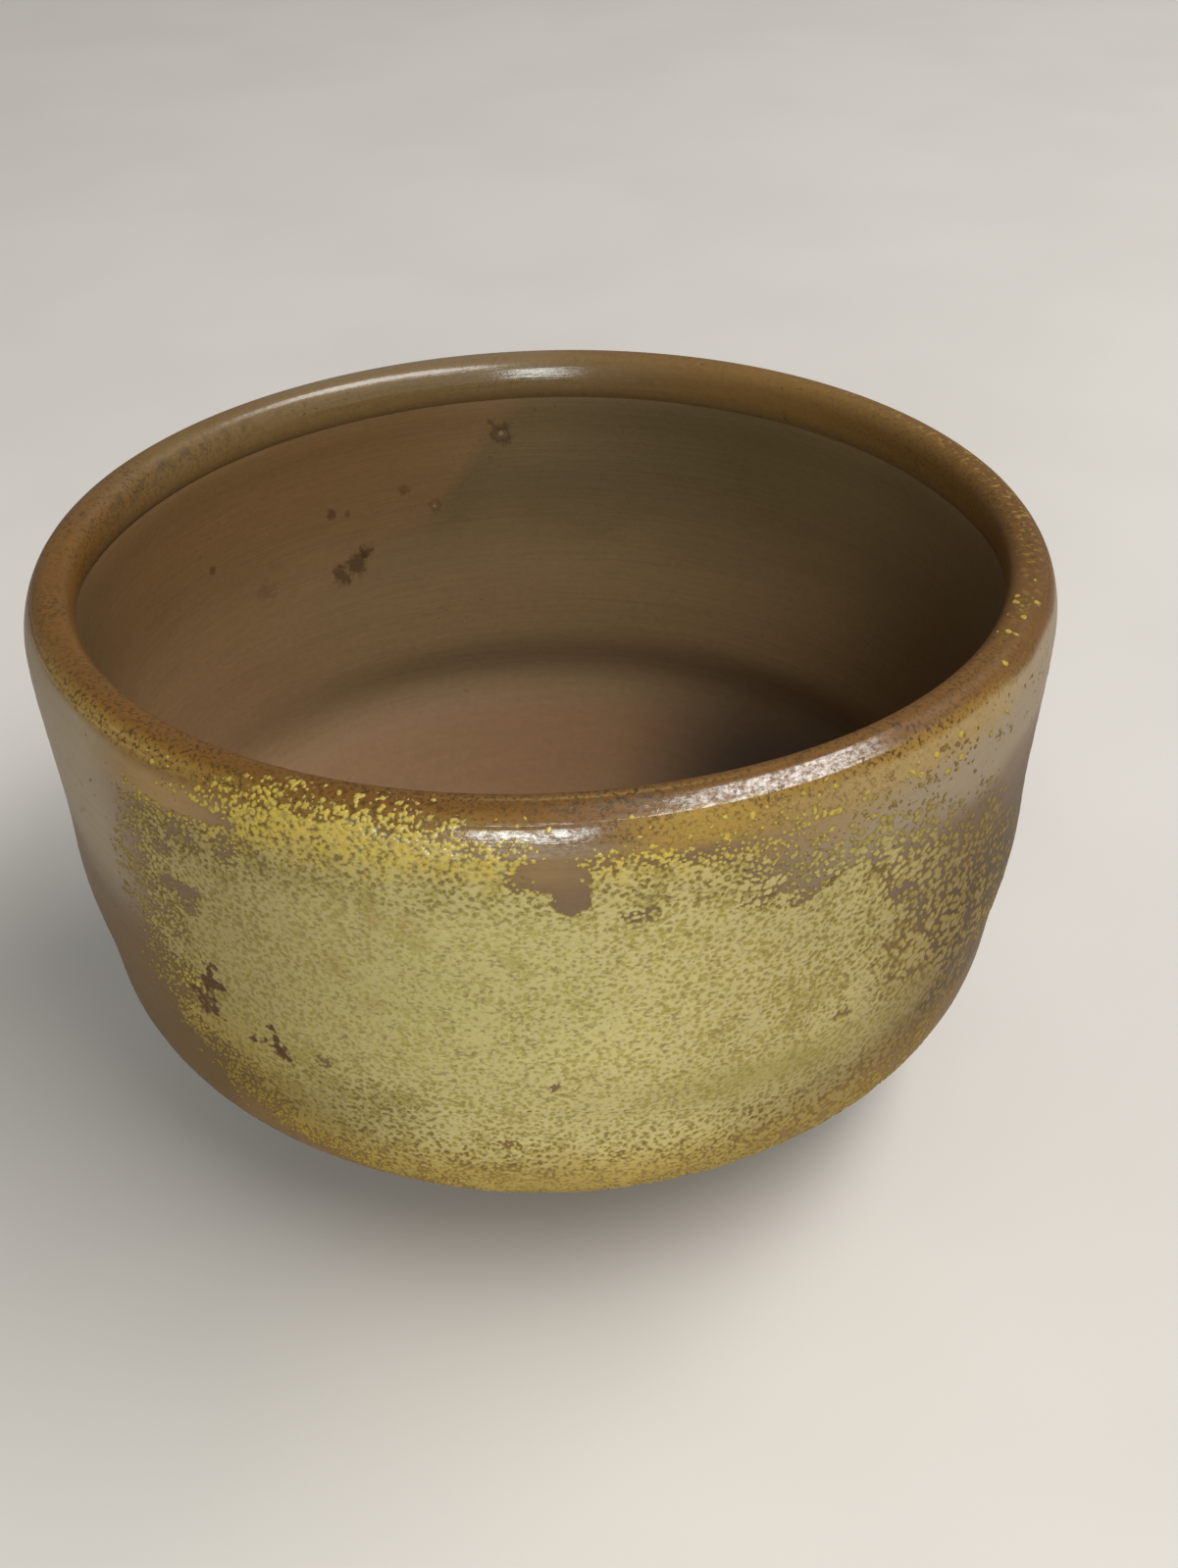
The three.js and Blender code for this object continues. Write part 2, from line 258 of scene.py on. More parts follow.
# What the hands and the years left on the turned shape, in mm
hand = {
    "outOfRound": [(0.09, 2, 0.7), (0.06, 3, -1.2)],   # size, waves in a turn, shift in radians
    "outOfLevel": (0.09, 3, -2.0),
    "frontRise": (0.32, 5, 55),        # size, then middle and width in degrees
    "rings": [(0.5, 3.3, 1, 1.1), (0.25, 1.37, -1, 1.0)],   # share, spacing, direction of the spiral, wander
    "ringDepth": 0.022, "insideLess": 0.008, "lipLess": 0.8, "scrapeDepth": 0.05, "scrapeSpacing": 1.15,
    "worn": {"share": 0.9, "pastCut": 0.15, "beforeTop": 0.3, "turns": (-2, 6, 38, 50)},
    "slip": {"depth": 1.25, "up": 2.3, "down": 4.0, "turns": (110, 60)},
    "fullLip": {"size": 0.45, "pastTop": 1.6, "width": 2.2, "middle": 8, "reach": 55},
    "marksFade": 4.0, "liftFade": 12.0,   # all of it fades out this near the axis
}


# Where the hands left the wall a little out of round and the lip a little out of level: waves round the
# bowl that grow with powers of the height, and a bell at the front
def handMade(turn, height):
    share = np.clip(height / bowl["height"], 0, 1) ** 2
    out = share * sum(size * np.cos(waves * turn + shift) for size, waves, shift in hand["outOfRound"])
    size, waves, shift = hand["outOfLevel"]
    lift = share ** 2 * size * np.cos(waves * turn + shift)
    frontSize, middle, width = hand["frontRise"]
    front = frontSize * share ** 3 * bell(turnFrom(0, np.degrees(turn)), middle, width)
    return out, lift - size * share ** 2 + front


# Throwing marks: sines along the section with a slow wander, weaker inside, and fine scraped rings below
def throwingMarks(turn, s):
    inside = ease(topS + 6, topS + 12, s)
    wander = ringDrift(turn, s, 24, 6.0, 11)
    rings = sum(share * np.sin(2 * math.pi * s / spacing + spiral * turn + strays * wander)
                for share, spacing, spiral, strays in hand["rings"])
    fine = ringDrift(turn, s, 18, 0.45, 12) * 0.35
    under = ease(34, 30, s)
    scraped = np.sin(2 * math.pi * s / hand["scrapeSpacing"] + turn) * 0.5 + fine
    onLip = bell(s, topS, 6.5)
    wall = (hand["ringDepth"] - hand["insideLess"] * inside) * (1 - hand["lipLess"] * onLip) * (1 - under)
    return wall * (rings + fine) + hand["scrapeDepth"] * under * scraped


# Wear left a flat on the lip right of the front, between the cut line and the crown:
# its depth is the arc's height over the chord between the two
def wornFlat(turn, s):
    worn = hand["worn"]
    low, high = cutS + worn["pastCut"], topS - worn["beforeTop"]
    r = np.interp([low, high], lineS, lineR)
    z = np.interp([low, high], lineS, lineZ)
    acrossR, acrossZ = z[1] - z[0], r[0] - r[1]
    over = (np.interp(s, lineS, lineR) - r[0]) * acrossR + (np.interp(s, lineS, lineZ) - z[0]) * acrossZ
    depth = np.clip(over / math.hypot(acrossR, acrossZ), 0, None)
    around = span(turnFrom(0, np.degrees(turn)), *worn["turns"])
    return worn["share"] * depth * around * (s > low) * (s < high)


# Slip fills the crease under the lip's bead at the back: a bell round it that thins out slowly down the wall
def creaseFill(turn, s):
    slip = hand["slip"]
    fromBack = 180 - np.abs(turnFrom(0, np.degrees(turn)))
    width = np.where(s < creaseS, slip["up"], slip["down"])
    return slip["depth"] * bell(s, creaseS, width) * ease(*slip["turns"], fromBack)


# The lip is a little fuller towards the front, on its inner shoulder: a bell both ways
def fullLip(turn, s):
    full = hand["fullLip"]
    along = bell(s, topS + full["pastTop"], full["width"])
    return full["size"] * along * bell(turnFrom(0, np.degrees(turn)), full["middle"], full["reach"])


# A point of the clay: the section at s carried round the axis, with the hand's unevenness and the marks,
# and lifted along the normal
def clayPoint(turn, s, lift):
    r, z = np.interp(s, lineS, lineR), np.interp(s, lineS, lineZ)
    nr, nz = np.interp(s, lineS, lineNr), np.interp(s, lineS, lineNz)
    out, up = handMade(turn, z)
    marks = throwingMarks(turn, s) * ease(0, hand["marksFade"], r)
    off = marks - wornFlat(turn, s) + creaseFill(turn, s) + fullLip(turn, s) + lift
    radius = np.clip(r + (out + nr * off) * ease(0, hand["liftFade"], r), 0, None)
    height = z + up + nz * off
    return np.stack([radius * np.sin(turn), -radius * np.cos(turn), height], -1)


# Corner numbers of the cells of a grid of point numbers; closed joins its last column to its first
def gridCorners(numbers, closed):
    right = np.roll(numbers, -1, axis=1) if closed else numbers[:, 1:]
    left = numbers if closed else numbers[:, :-1]
    return np.stack([left[:-1], right[:-1], right[1:], left[1:]], -1).reshape(-1, 4)


# A smooth mesh object from points in mm, a list of (corners, corners per face) and named values per point
def makePiece(name, points, faces, values, material, normals=None):
    mesh = bpy.data.meshes.new(name)
    corners = np.concatenate([np.ravel(part) for part, each in faces])
    counts = np.concatenate([np.full(np.size(part) // each, each) if np.isscalar(each) else np.asarray(each)
                             for part, each in faces])
    starts = np.concatenate([[0], np.cumsum(counts)[:-1]])
    mesh.vertices.add(len(points))
    mesh.vertices.foreach_set("co", (np.asarray(points) * 0.001).astype(np.float32).ravel())
    mesh.loops.add(len(corners))
    mesh.loops.foreach_set("vertex_index", corners.astype(np.int32))
    mesh.polygons.add(len(counts))
    mesh.polygons.foreach_set("loop_start", starts.astype(np.int32))
    mesh.update(calc_edges=True)
    mesh.validate()
    mesh.shade_smooth()
    if normals is not None:
        mesh.normals_split_custom_set_from_vertices(normals.tolist())
    for key, value in values.items():
        tone = mesh.attributes.new(key, "FLOAT", "POINT")
        tone.data.foreach_set("value", value.astype(np.float32).ravel())
    mesh.materials.append(material)
    piece = bpy.data.objects.new(name, mesh)
    bpy.context.scene.collection.objects.link(piece)
    print("made", name, "with", int((counts - 2).sum()), "triangles")
    return piece


# sRGB hex to linear colour
def linear(text):
    parts = [int(text[k:k + 2], 16) / 255 for k in (1, 3, 5)]
    return tuple(c / 12.92 if c <= 0.04045 else ((c + 0.055) / 1.055) ** 2.4 for c in parts) + (1.0,)


# Adds one node with its settings, its values and its links
def addNode(tree, kind, inputs=None, **settings):
    node = tree.nodes.new("ShaderNode" + kind)
    for key, value in settings.items():
        setattr(node, key, value)
    for key, value in (inputs or {}).items():
        if isinstance(value, bpy.types.NodeSocket):
            tree.links.new(value, node.inputs[key])
        else:
            node.inputs[key].default_value = value
    return node


# Starts a material: its tree, its shader, the object's own coordinates, and one field for each of the look's
# noises and for each tone that the points carry. A noise is (size in mm of its lumps, octaves, how much
# flatter than wide, roughness, shift in metres); its lumps are half as wide as its cells.
def startMaterial(name, look, tones=()):
    material = bpy.data.materials.new(name)
    material.use_nodes = True
    tree = material.node_tree
    tree.nodes.clear()
    shader = addNode(tree, "BsdfPrincipled")
    addNode(tree, "OutputMaterial", {"Surface": shader.outputs[0]})
    place = addNode(tree, "TexCoord").outputs["Object"]
    field = {tone: addNode(tree, "Attribute", attribute_name=tone).outputs["Fac"] for tone in tones}
    field["place"] = place
    for key, (size, octaves, flat, rough, shift) in look["noises"].items():
        spread = addNode(tree, "Mapping", {"Vector": place, "Location": (shift,) * 3, "Scale": (1, 1, flat)})
        cellsInMetre = 1000 / (2 * size)
        field[key] = addNode(tree, "TexNoise", {"Vector": spread.outputs[0], "Scale": cellsInMetre,
                                                "Detail": octaves, "Roughness": rough}).outputs[0]
    return material, tree, shader, field


# Lays colours one over the other. A layer is (colour, tone) or (colour, tone, noise, range): its share is the
# tone times the noise, whose values between the range's first two numbers become those between its last two.
def paintLayers(tree, look, field, colour, layers):
    for key, tone, *broken in layers:
        share = field[tone] if tone else 1.0
        if broken:
            noise, (low, high, least, most) = broken
            part = addNode(tree, "MapRange", {"Value": field[noise], 1: low, 2: high, 3: least, 4: most})
            share = addNode(tree, "Math", {0: share, 1: part.outputs[0]}, operation="MULTIPLY").outputs[0]
        over = addNode(tree, "Mix", {0: share, 6: colour, 7: linear(look[key])}, data_type="RGBA")
        colour = over.outputs[2]
    return colour


noiseLow, noiseHigh = 0.3, 0.7         # nearly all of a noise's values lie between these


# Gives the shader its colour, made lighter and darker by two noises; its roughness, changed where a tone
# says; its fine bumps; and a thin clear glass where the gloss tone says, broken by scratches
def finishMaterial(tree, shader, look, field, colour):
    parts = [addNode(tree, "MapRange", {"Value": field[key], 1: noiseLow, 2: noiseHigh, 3: -size, 4: size})
             for key, size in look["lighter"]]
    change = addNode(tree, "Math", {0: parts[0].outputs[0], 1: parts[1].outputs[0]}, operation="ADD")
    light = addNode(tree, "Math", {0: change.outputs[0], 1: 1.0}, operation="ADD").outputs[0]
    colour = addNode(tree, "Mix", {0: 1.0, 6: colour, 7: light}, data_type="RGBA",
                     blend_type="MULTIPLY").outputs[2]
    least, most = look["rough"]
    rough = addNode(tree, "MapRange", {"Value": field["fine"], 1: noiseLow, 2: noiseHigh, 3: least, 4: most})
    rough = rough.outputs[0]
    for tone, value in look["roughWhere"]:
        rough = addNode(tree, "Mix", {0: field[tone], 2: rough, 3: value}).outputs[0]
    height = 0.0
    for key, size in look["bumps"]:
        added = addNode(tree, "Math", {0: field[key], 1: size, 2: height}, operation="MULTIPLY_ADD")
        height = added.outputs[0]
    bump = addNode(tree, "Bump", {"Height": height, "Strength": 0.6, "Distance": look["bumpDepth"]})
    links = {"Base Color": colour, "Roughness": rough, "Normal": bump.outputs[0]}
    if "gloss" in field:
        low, high = look["glossBreak"]
        whole = addNode(tree, "MapRange", {"Value": field["scratch"], 1: low, 2: high,
                                           3: field.get("glossEven", look["glossLeast"]), 4: 1.0})
        gloss = addNode(tree, "Math", {0: field["gloss"], 1: whole.outputs[0]}, operation="MULTIPLY")
        links.update({"Coat Weight": gloss.outputs[0], "Coat Normal": bump.outputs[0]})
        shader.inputs["Coat Roughness"].default_value = look["glossRough"]
        shader.inputs["Coat IOR"].default_value = look["glossIor"]
    for key, value in links.items():
        tree.links.new(value, shader.inputs[key])
    shader.inputs["IOR"].default_value = look["ior"]
    shader.inputs["Specular IOR Level"].default_value = look["shine"]


# Wood-fired stoneware: iron-bearing clay flashed by flame and fly ash. It gives the eye a satin brown that
# wanders between mauve grey and orange, with fine turned streaks, dark iron specks and a glossier lip.
clayLook = {
    # Some of these colours are light and shade painted in: the dark brown of the lower flanks is partly
    # painted shade, the flanks' grey partly painted sheen, the lip's dark partly painted shade in its crease,
    # the pale line at the cut line partly a painted highlight, the floor's pink partly painted light on the
    # low left wall, the pale of the low inner wall painted light, and the darks of the inner hip and of the
    # floor's right painted shade
    "brown": "#745b40", "mauve": "#6d5844", "grey": "#928168", "brownAndPaintedShade": "#42300f", "amber": "#84632e",
    "lip": "#6b481a", "lipInside": "#6f5835", "lipDarkAndCreaseShade": "#5a3a12", "lipOlive": "#987935", "tan": "#967748",
    "line": "#b39a66", "smudge": "#4b3e2c", "yellow": "#a98a2e", "paintedLightWall": "#8a704e",
    "orangeInside": "#6c5030", "oliveInside": "#59482c", "pinkFloor": "#886849", "paintedHipShade": "#584229",
    "paintedShadowColour": "#2d2620", "under": "#7a5a42", "specks": "#38271a", "pepper": "#46300f",
    "markDark": "#3f2917", "markPale": "#8d7a5a",
    "noises": {
        "cloud": (9.0, 3.0, 1.6, 0.55, 0.0), "streak": (7.0, 4.0, 26.0, 0.6, 0.031),
        "fine": (0.56, 4.0, 1.5, 0.65, 0.017), "ragged": (0.7, 3.0, 1.0, 0.7, 0.05),
        "speck": (0.3, 1.0, 1.3, 0.5, 0.11), "gather": (5.0, 2.0, 2.0, 0.5, 0.07),
        "dust": (0.24, 2.0, 1.1, 0.6, 0.13), "crumbs": (0.5, 2.0, 1.2, 0.6, 0.19),
        "scratch": (0.4, 3.0, 2.2, 0.75, 0.23),
    },
    "layers": [
        ("mauve", None, "cloud", (0.35, 0.65, 0.0, 1.0)), ("grey", "greyFlankAndSheen"), ("brownAndPaintedShade", "brownAndPaintedShade"),
        ("amber", "amber"), ("tan", "tan"), ("lip", "lip"), ("lipInside", "lipInside"),
        ("lipOlive", "lipOlive", "gather", (0.3, 0.7, 0.7, 1.0)), ("lipDarkAndCreaseShade", "lipDarkAndCreaseShade"), ("line", "line"),
        ("smudge", "smudge", "ragged", (0.47, 0.6, 0.0, 0.6)),
    ],
    "insideLayers": [
        ("orangeInside", "insideOrange"), ("paintedLightWall", "paintedLightInside"),
        ("pinkFloor", "floorPinkAndLight", "cloud", (0.25, 0.6, 0.45, 1.0)), ("paintedHipShade", "paintedHipShade"),
        ("paintedShadowColour", "paintedShadowRight"),
    ],
    "speckLayers": [
        ("under", "under"), ("specks", "speckRoom", "speck", (0.66, 0.71, 0.0, 1.0)),
        ("pepper", "pepper", "dust", (0.5, 0.64, 0.0, 0.9)),
        ("yellow", "lipYellow", "crumbs", (0.55, 0.62, 0.0, 0.6)),
    ],
    "lighter": [("streak", 0.045), ("fine", 0.06)],
    "bumps": [("fine", 0.35), ("streak", 0.55)], "bumpDepth": 0.00012,
    "rough": (0.46, 0.56), "roughWhere": [("inside", 0.62), ("gloss", 0.4), ("under", 0.78)],
    "glossRough": 0.16, "glossIor": 2.0, "glossLeast": 0.1, "glossBreak": (0.4, 0.62),
    "ior": 1.5, "shine": 0.24,
}
clayTonesUsed = (
    "inside", "lip", "lipInside", "lipYellow", "lipDarkAndCreaseShade", "lipOlive", "paintedShadowRight", "greyFlankAndSheen", "brownAndPaintedShade", "amber",
    "smudge", "insideOrange", "paintedLightInside", "floorPinkAndLight", "paintedHipShade", "under", "gloss", "glossEven", "pepper",
    "tan", "line", "speckRoom",
)

# Marks inside the bowl: turn, height, radius in mm, how dark, and whether the middle is pale
insideMarks = [
    (-173.8, 60.2, 1.6, 0.95, True), (-172.3, 61.9, 0.7, 0.6, False),
    (-146.6, 52.8, 0.8, 0.8, False), (-149.0, 52.0, 0.5, 0.6, False),
    (-149.7, 44.6, 2.0, 0.85, False), (-147.0, 43.2, 1.5, 0.8, False), (-151.5, 45.8, 1.2, 0.8, False),
    (-124.0, 52.2, 0.7, 0.7, False), (-158.5, 53.5, 0.9, 0.6, False), (-133.5, 45.3, 1.6, 0.3, False),
    (-163.0, 50.5, 1.0, 0.5, True),
]
# Their edges, as values of the distance over the radius plus the ragged noise, and as shares of the radius
markLook = {
    "ragged": 2.8, "edge": (0.9, 0.7), "strength": 0.8,
    "ring": (0.58, 0.72, 0.25), "pale": (0.26, 0.12), "paleStrength": 0.7,
}


# The bowl's clay: outside and inside painted apart, then the blisters and pocks, each dark where the
# distance from its middle, made ragged by noise, is less than its radius; a pale one is dark as a ring
def stoneware():
    look = clayLook
    material, tree, shader, field = startMaterial("wood-fired stoneware", look, clayTonesUsed)
    outside = paintLayers(tree, look, field, linear(look["brown"]), look["layers"])
    inside = paintLayers(tree, look, field, linear(look["oliveInside"]), look["insideLayers"])
    colour = addNode(tree, "Mix", {0: field["inside"], 6: outside, 7: inside}, data_type="RGBA").outputs[2]
    edgeOut, edgeIn = markLook["edge"]
    ringIn, ringOut, ringLeast = markLook["ring"]
    for turn, height, radius, dark, pale in insideMarks:
        middle = clayPoint(np.radians(turn), insideS(height), 0.0) * 0.001
        away = addNode(tree, "VectorMath", {0: field["place"], 1: tuple(middle)}, operation="DISTANCE")
        away = away.outputs["Value"]
        perMetre = 1000 / radius / markLook["ragged"]
        far = addNode(tree, "Math", {0: away, 1: perMetre, 2: field["ragged"]}, operation="MULTIPLY_ADD")
        far = far.outputs[0]
        share = addNode(tree, "MapRange", {"Value": far, 1: edgeOut, 2: edgeIn, 3: 0.0,
                                           4: dark * markLook["strength"]}).outputs[0]
        if pale:
            ring = addNode(tree, "MapRange", {"Value": far, 1: ringIn, 2: ringOut, 3: ringLeast, 4: 1.0})
            share = addNode(tree, "Math", {0: share, 1: ring.outputs[0]}, operation="MULTIPLY").outputs[0]
        colour = addNode(tree, "Mix", {0: share, 6: colour, 7: linear(look["markDark"])},
                         data_type="RGBA").outputs[2]
        if pale:
            paleOut, paleIn = (radius * size * 0.001 for size in markLook["pale"])
            share = addNode(tree, "MapRange", {"Value": away, 1: paleOut, 2: paleIn, 3: 0.0,
                                               4: markLook["paleStrength"]})
            colour = addNode(tree, "Mix", {0: share.outputs[0], 6: colour, 7: linear(look["markPale"])},
                             data_type="RGBA").outputs[2]
    colour = paintLayers(tree, look, field, colour, look["speckLayers"])
    finishMaterial(tree, shader, look, field, colour)
    return material


# Natural ash glaze: wood ash that settled and melted to a thin glass. It gives the eye khaki that turns
# brown where it is thin and yellow where it stands in separate beads, with brown pits in it.
ashLook = {
    # edge is a browner, darker ash at the coat's sides and bottom, partly painted shade
    "film": "#644c29", "thin": "#7b673a", "body": "#a09049", "thick": "#bbab74", "edge": "#5e4618",
    "green": "#a09a5e", "yellow": "#b99e38", "warm": "#92753a", "olive": "#948840", "pit": "#766543",
    "stain": "#96743c", "scar": "#4c2c10",
    "depths": [(0.02, "film"), (0.25, "thin"), (0.6, "body"), (0.95, "thick")], "depthStir": 0.15,
    "noises": {
        "fine": (0.25, 3.0, 1.7, 0.6, 0.0), "cloud": (6.0, 3.0, 1.4, 0.6, 0.02),
        "pits": (0.34, 1.5, 1.6, 0.5, 0.09), "patch": (2.4, 3.0, 1.3, 0.6, 0.06),
        "scratch": (0.5, 3.0, 1.6, 0.7, 0.13),
    },
    "layers": [
        ("green", "green", "cloud", (0.3, 0.6, 0.4, 0.9)), ("olive", "olive", "patch", (0.3, 0.6, 0.6, 1.0)),
        ("warm", "warm", "patch", (0.3, 0.6, 0.7, 1.0)), ("stain", "stain", "fine", (0.4, 0.6, 0.0, 1.0)),
        ("edge", "edge"), ("yellow", "yellow"), ("pit", "pitRoom", "pits", (0.57, 0.68, 0.0, 0.65)),
        ("scar", "scar", "fine", (0.2, 0.5, 0.6, 1.0)),
    ],
    "lighter": [("cloud", 0.07), ("fine", 0.06)],
    "bumps": [("fine", 0.8), ("pits", -0.7)], "bumpDepth": 0.00008,
    "rough": (0.42, 0.54), "roughWhere": [("gloss", 0.36)],
    "glossRough": 0.16, "glossIor": 1.8, "glossLeast": 0.1, "glossBreak": (0.4, 0.62),
    "ior": 1.52, "shine": 0.22,
}
ashTonesUsed = ("depth", "yellow", "green", "olive", "warm", "stain", "edge", "scar", "pitRoom", "gloss")


# The ash's colour follows its depth, from bare film to thick glass, and its tones lie over that
def ashGlaze():
    look = ashLook
    material, tree, shader, field = startMaterial("natural ash glaze", look, ashTonesUsed)
    stir = addNode(tree, "MapRange", {"Value": field["fine"], 1: noiseLow, 2: noiseHigh,
                                      3: -look["depthStir"], 4: look["depthStir"]})
    deep = addNode(tree, "Math", {0: field["depth"], 1: stir.outputs[0]}, operation="ADD")
    ramp = addNode(tree, "ValToRGB", {"Fac": deep.outputs[0]})
    stops = ramp.color_ramp.elements
    stops.remove(stops[0])
    stops[0].position, stops[0].color = 1.0, linear(look["thick"])
    for position, key in look["depths"]:
        stops.new(position).color = linear(look[key])
    colour = paintLayers(tree, look, field, ramp.outputs[0], look["layers"])
    finishMaterial(tree, shader, look, field, colour)
    return material


# Bare foot clay: fired but neither glazed nor flashed. It gives the eye a dry matt brown with sandy grains
# and a paler worn face.
footLook = {
    "clay": "#74543d", "worn": "#8f6f54", "dark": "#4e382a", "sand": "#a58c70",
    "noises": {"cloud": (6.0, 3.0, 1.0, 0.6, 0.0), "fine": (0.5, 4.0, 1.0, 0.7, 0.03),
               "sandy": (0.35, 1.0, 1.0, 0.5, 0.05)},
    "layers": [("dark", None, "cloud", (0.5, 0.75, 0.0, 0.7)),
               ("worn", "worn", "fine", (0.35, 0.55, 0.3, 0.9)),
               ("sand", None, "sandy", (0.66, 0.72, 0.0, 0.7))],
    "lighter": [("cloud", 0.04), ("fine", 0.06)],
    "bumps": [("fine", 1.0), ("sandy", 0.7)], "bumpDepth": 0.00015,
    "rough": (0.66, 0.86), "roughWhere": [], "ior": 1.5, "shine": 0.3,
}


# One clay colour, then dark clouds, the worn face and grains of sand
def footClay():
    look = footLook
    material, tree, shader, field = startMaterial("bare foot clay", look, ("worn",))
    colour = paintLayers(tree, look, field, linear(look["clay"]), look["layers"])
    finishMaterial(tree, shader, look, field, colour)
    return material


# Turns over 170 counted on from the left as -190 to -180, so that nothing jumps at the back
def leftRound(side):
    return np.where(side > 170, side - 360, side)


# The far lip is glassy and smooth from its outer edge to below its middle: a span both ways
def farLip(side, s):
    return span(leftRound(side), -189, -178, -150, -125) * span(s - topS, -3.6, -2.4, 4.6, 6.0)


# Glassy places on the lip: a stretch right of the front down to the cut line, a patch on the front shoulder,
# and the far lip
def clayGloss(side, s):
    height = np.interp(s, lineS, lineZ)
    stretch = span(side, -2, 7, 29, 39) * span(s, cutS + 0.05, cutS + 0.2, topS - 0.4, topS - 0.1)
    shoulder = (s < topS) * span(side, -14, -7, 3, 9) * span(height, 66.7, 67.4, 69.9, 70.2)
    return np.clip(stretch + 0.6 * farLip(side, s) + shoulder, 0, 1)


# The cut line round the lip, 1 at its bottom: a bell across it that fades and wanders as it goes round, and
# a second, fainter one under it on the left
def cutPlace(turn, s):
    side = turnFrom(0, np.degrees(turn))
    fade = (0.55 + 0.45 * np.cos(turn + 1.3) * np.cos(2 * turn)) * (1 - span(side, -2, 6, 45, 60))
    wander = 0.06 * np.sin(5 * turn)
    width = bowl["cutLine"]["width"]
    second = 0.5 * bell(s - cutS + 0.75 - 2 * wander, 0, width) * span(side, -100, -80, -34, -20)
    return fade * bell(s - cutS - wander, 0, width) + second


# Painted highlight: light catching the upper edge of the cut line on the left, laid in as a pale colour
def cutHighlight(turn, s):
    side = turnFrom(0, np.degrees(turn))
    return 0.75 * cutPlace(turn, s - 0.12) * span(side, -175, -150, -48, -30)


# What the clay's tones are worked out from at each point: the turn in three ways, s from the crown, the
# height and radius, 1 inside and 1 outside, how much a slow random field wavers, and how far the lip's own
# colour reaches
def clayPlaces(turn, s):
    side = turnFrom(0, np.degrees(turn))
    height, radius = np.interp(s, lineS, lineZ), np.interp(s, lineS, lineR)
    past = s - topS
    inner, outer = ease(4.2, 9.5, past), (past < 0).astype(float)
    waver = ringDrift(turn, s, 48, 3.0, 31)
    lipFoot = 69.4 - 1.5 * bell(side, 0, 14) - 0.6 * ease(45, 70, side) * ease(172, 105, side)
    soft = 0.5 + 1.1 * bell(side, -38, 14)
    onLip = ease(lipFoot - soft, lipFoot + 0.6, height + 0.15 * waver) * outer
    return SimpleNamespace(turn=turn, side=side, far=leftRound(side), s=s, past=past, height=height,
                           radius=radius, inner=inner, outer=outer, waver=waver,
                           onLip=np.maximum(onLip, (1 - outer) * (1 - inner)))


# The lip: its orange, the browner inner half at the back, painted shade in the crease and a darker lip on the
# right, the olive band under it and on its left, yellow crumbs and pepper on it, a smudge left inside, the
# tan runs below it, and pale lines
def lipTones(at):
    side, past, onLip, waver = at.side, at.past, at.onLip, at.waver
    around = np.abs(side)
    # Painted shade: the lip darkens down into the crease under its bead at the front, and on its lower inner
    # face at the far right
    crease = ease(0.8, 3.2, past) * (1 - at.inner) * ease(100, 50, around)
    farCrease = ease(2.2, 4.0, past) * (1 - at.inner) * span(side, 98, 125, 165, 179)
    band = (ease(65.2, 67.6, at.height + 0.4 * waver) * ease(-1.6, -2.6, past) * span(side, 3, 12, 46, 64)
            * (1 - 0.38 * ease(14, 36, side)) * at.outer)
    leftOlive = 0.32 * span(side, -75, -60, -6, 4) + 0.4 * bell(side, -50, 16)
    tanLeft = bell(side, -40, 8) * ease(63.6, 65.4, at.height + 0.3 * waver) * ease(69.4, 67.8, at.height)
    tanRuns = spots(side, at.height, [(0.5, 0, 5, 65.8, 2.2), (0.6, 27, 8, 64.6, 1.6)])
    return {
        "lip": onLip,
        "lipInside": (ease(-2.2, 0.6, past) * (1 - at.inner) * ease(85, 125, around)
                      * (0.9 - 0.4 * span(side, 60, 110, 150, 178))),
        "lipDarkAndCreaseShade": np.maximum(0.7 * crease, 0.7 * onLip * bell(side, 90, 34)) + 0.35 * farCrease,
        "lipYellow": bell(past, -0.3, 1.5) * bell(side, 104, 30),
        "lipOlive": np.maximum(np.maximum(band, 0.15 * onLip * span(side, 58, 90, 140, 172)),
                               onLip * at.outer * ease(-0.6, -2.2, past) * leftOlive),
        "gloss": clayGloss(side, at.s), "glossEven": clayLook["glossLeast"] + 0.7 * farLip(side, at.s),
        "pepper": (np.clip(onLip + 0.55 * band, 0, 1) * (0.75 + 0.25 * waver)
                   * (1 - 0.75 * ease(100, 140, around))),
        "smudge": np.maximum(bell(past, 3.0, 1.6) * span(at.far, -150, -128, -110, -90),
                             bell(past, -0.2, 1.5) * bell(side, 6, 9)),
        "tan": 0.85 * at.outer * np.maximum(tanLeft, tanRuns + 0.6 * onLip * bell(side, 43, 8)),
        # Pale lines: a painted highlight along the cut line's upper edge on the left, and a pale line on the
        # crown
        "line": np.maximum(cutHighlight(at.turn, at.s), 0.5 * bell(past, 0.5, 0.13) * bell(side, 6, 13)),
    }


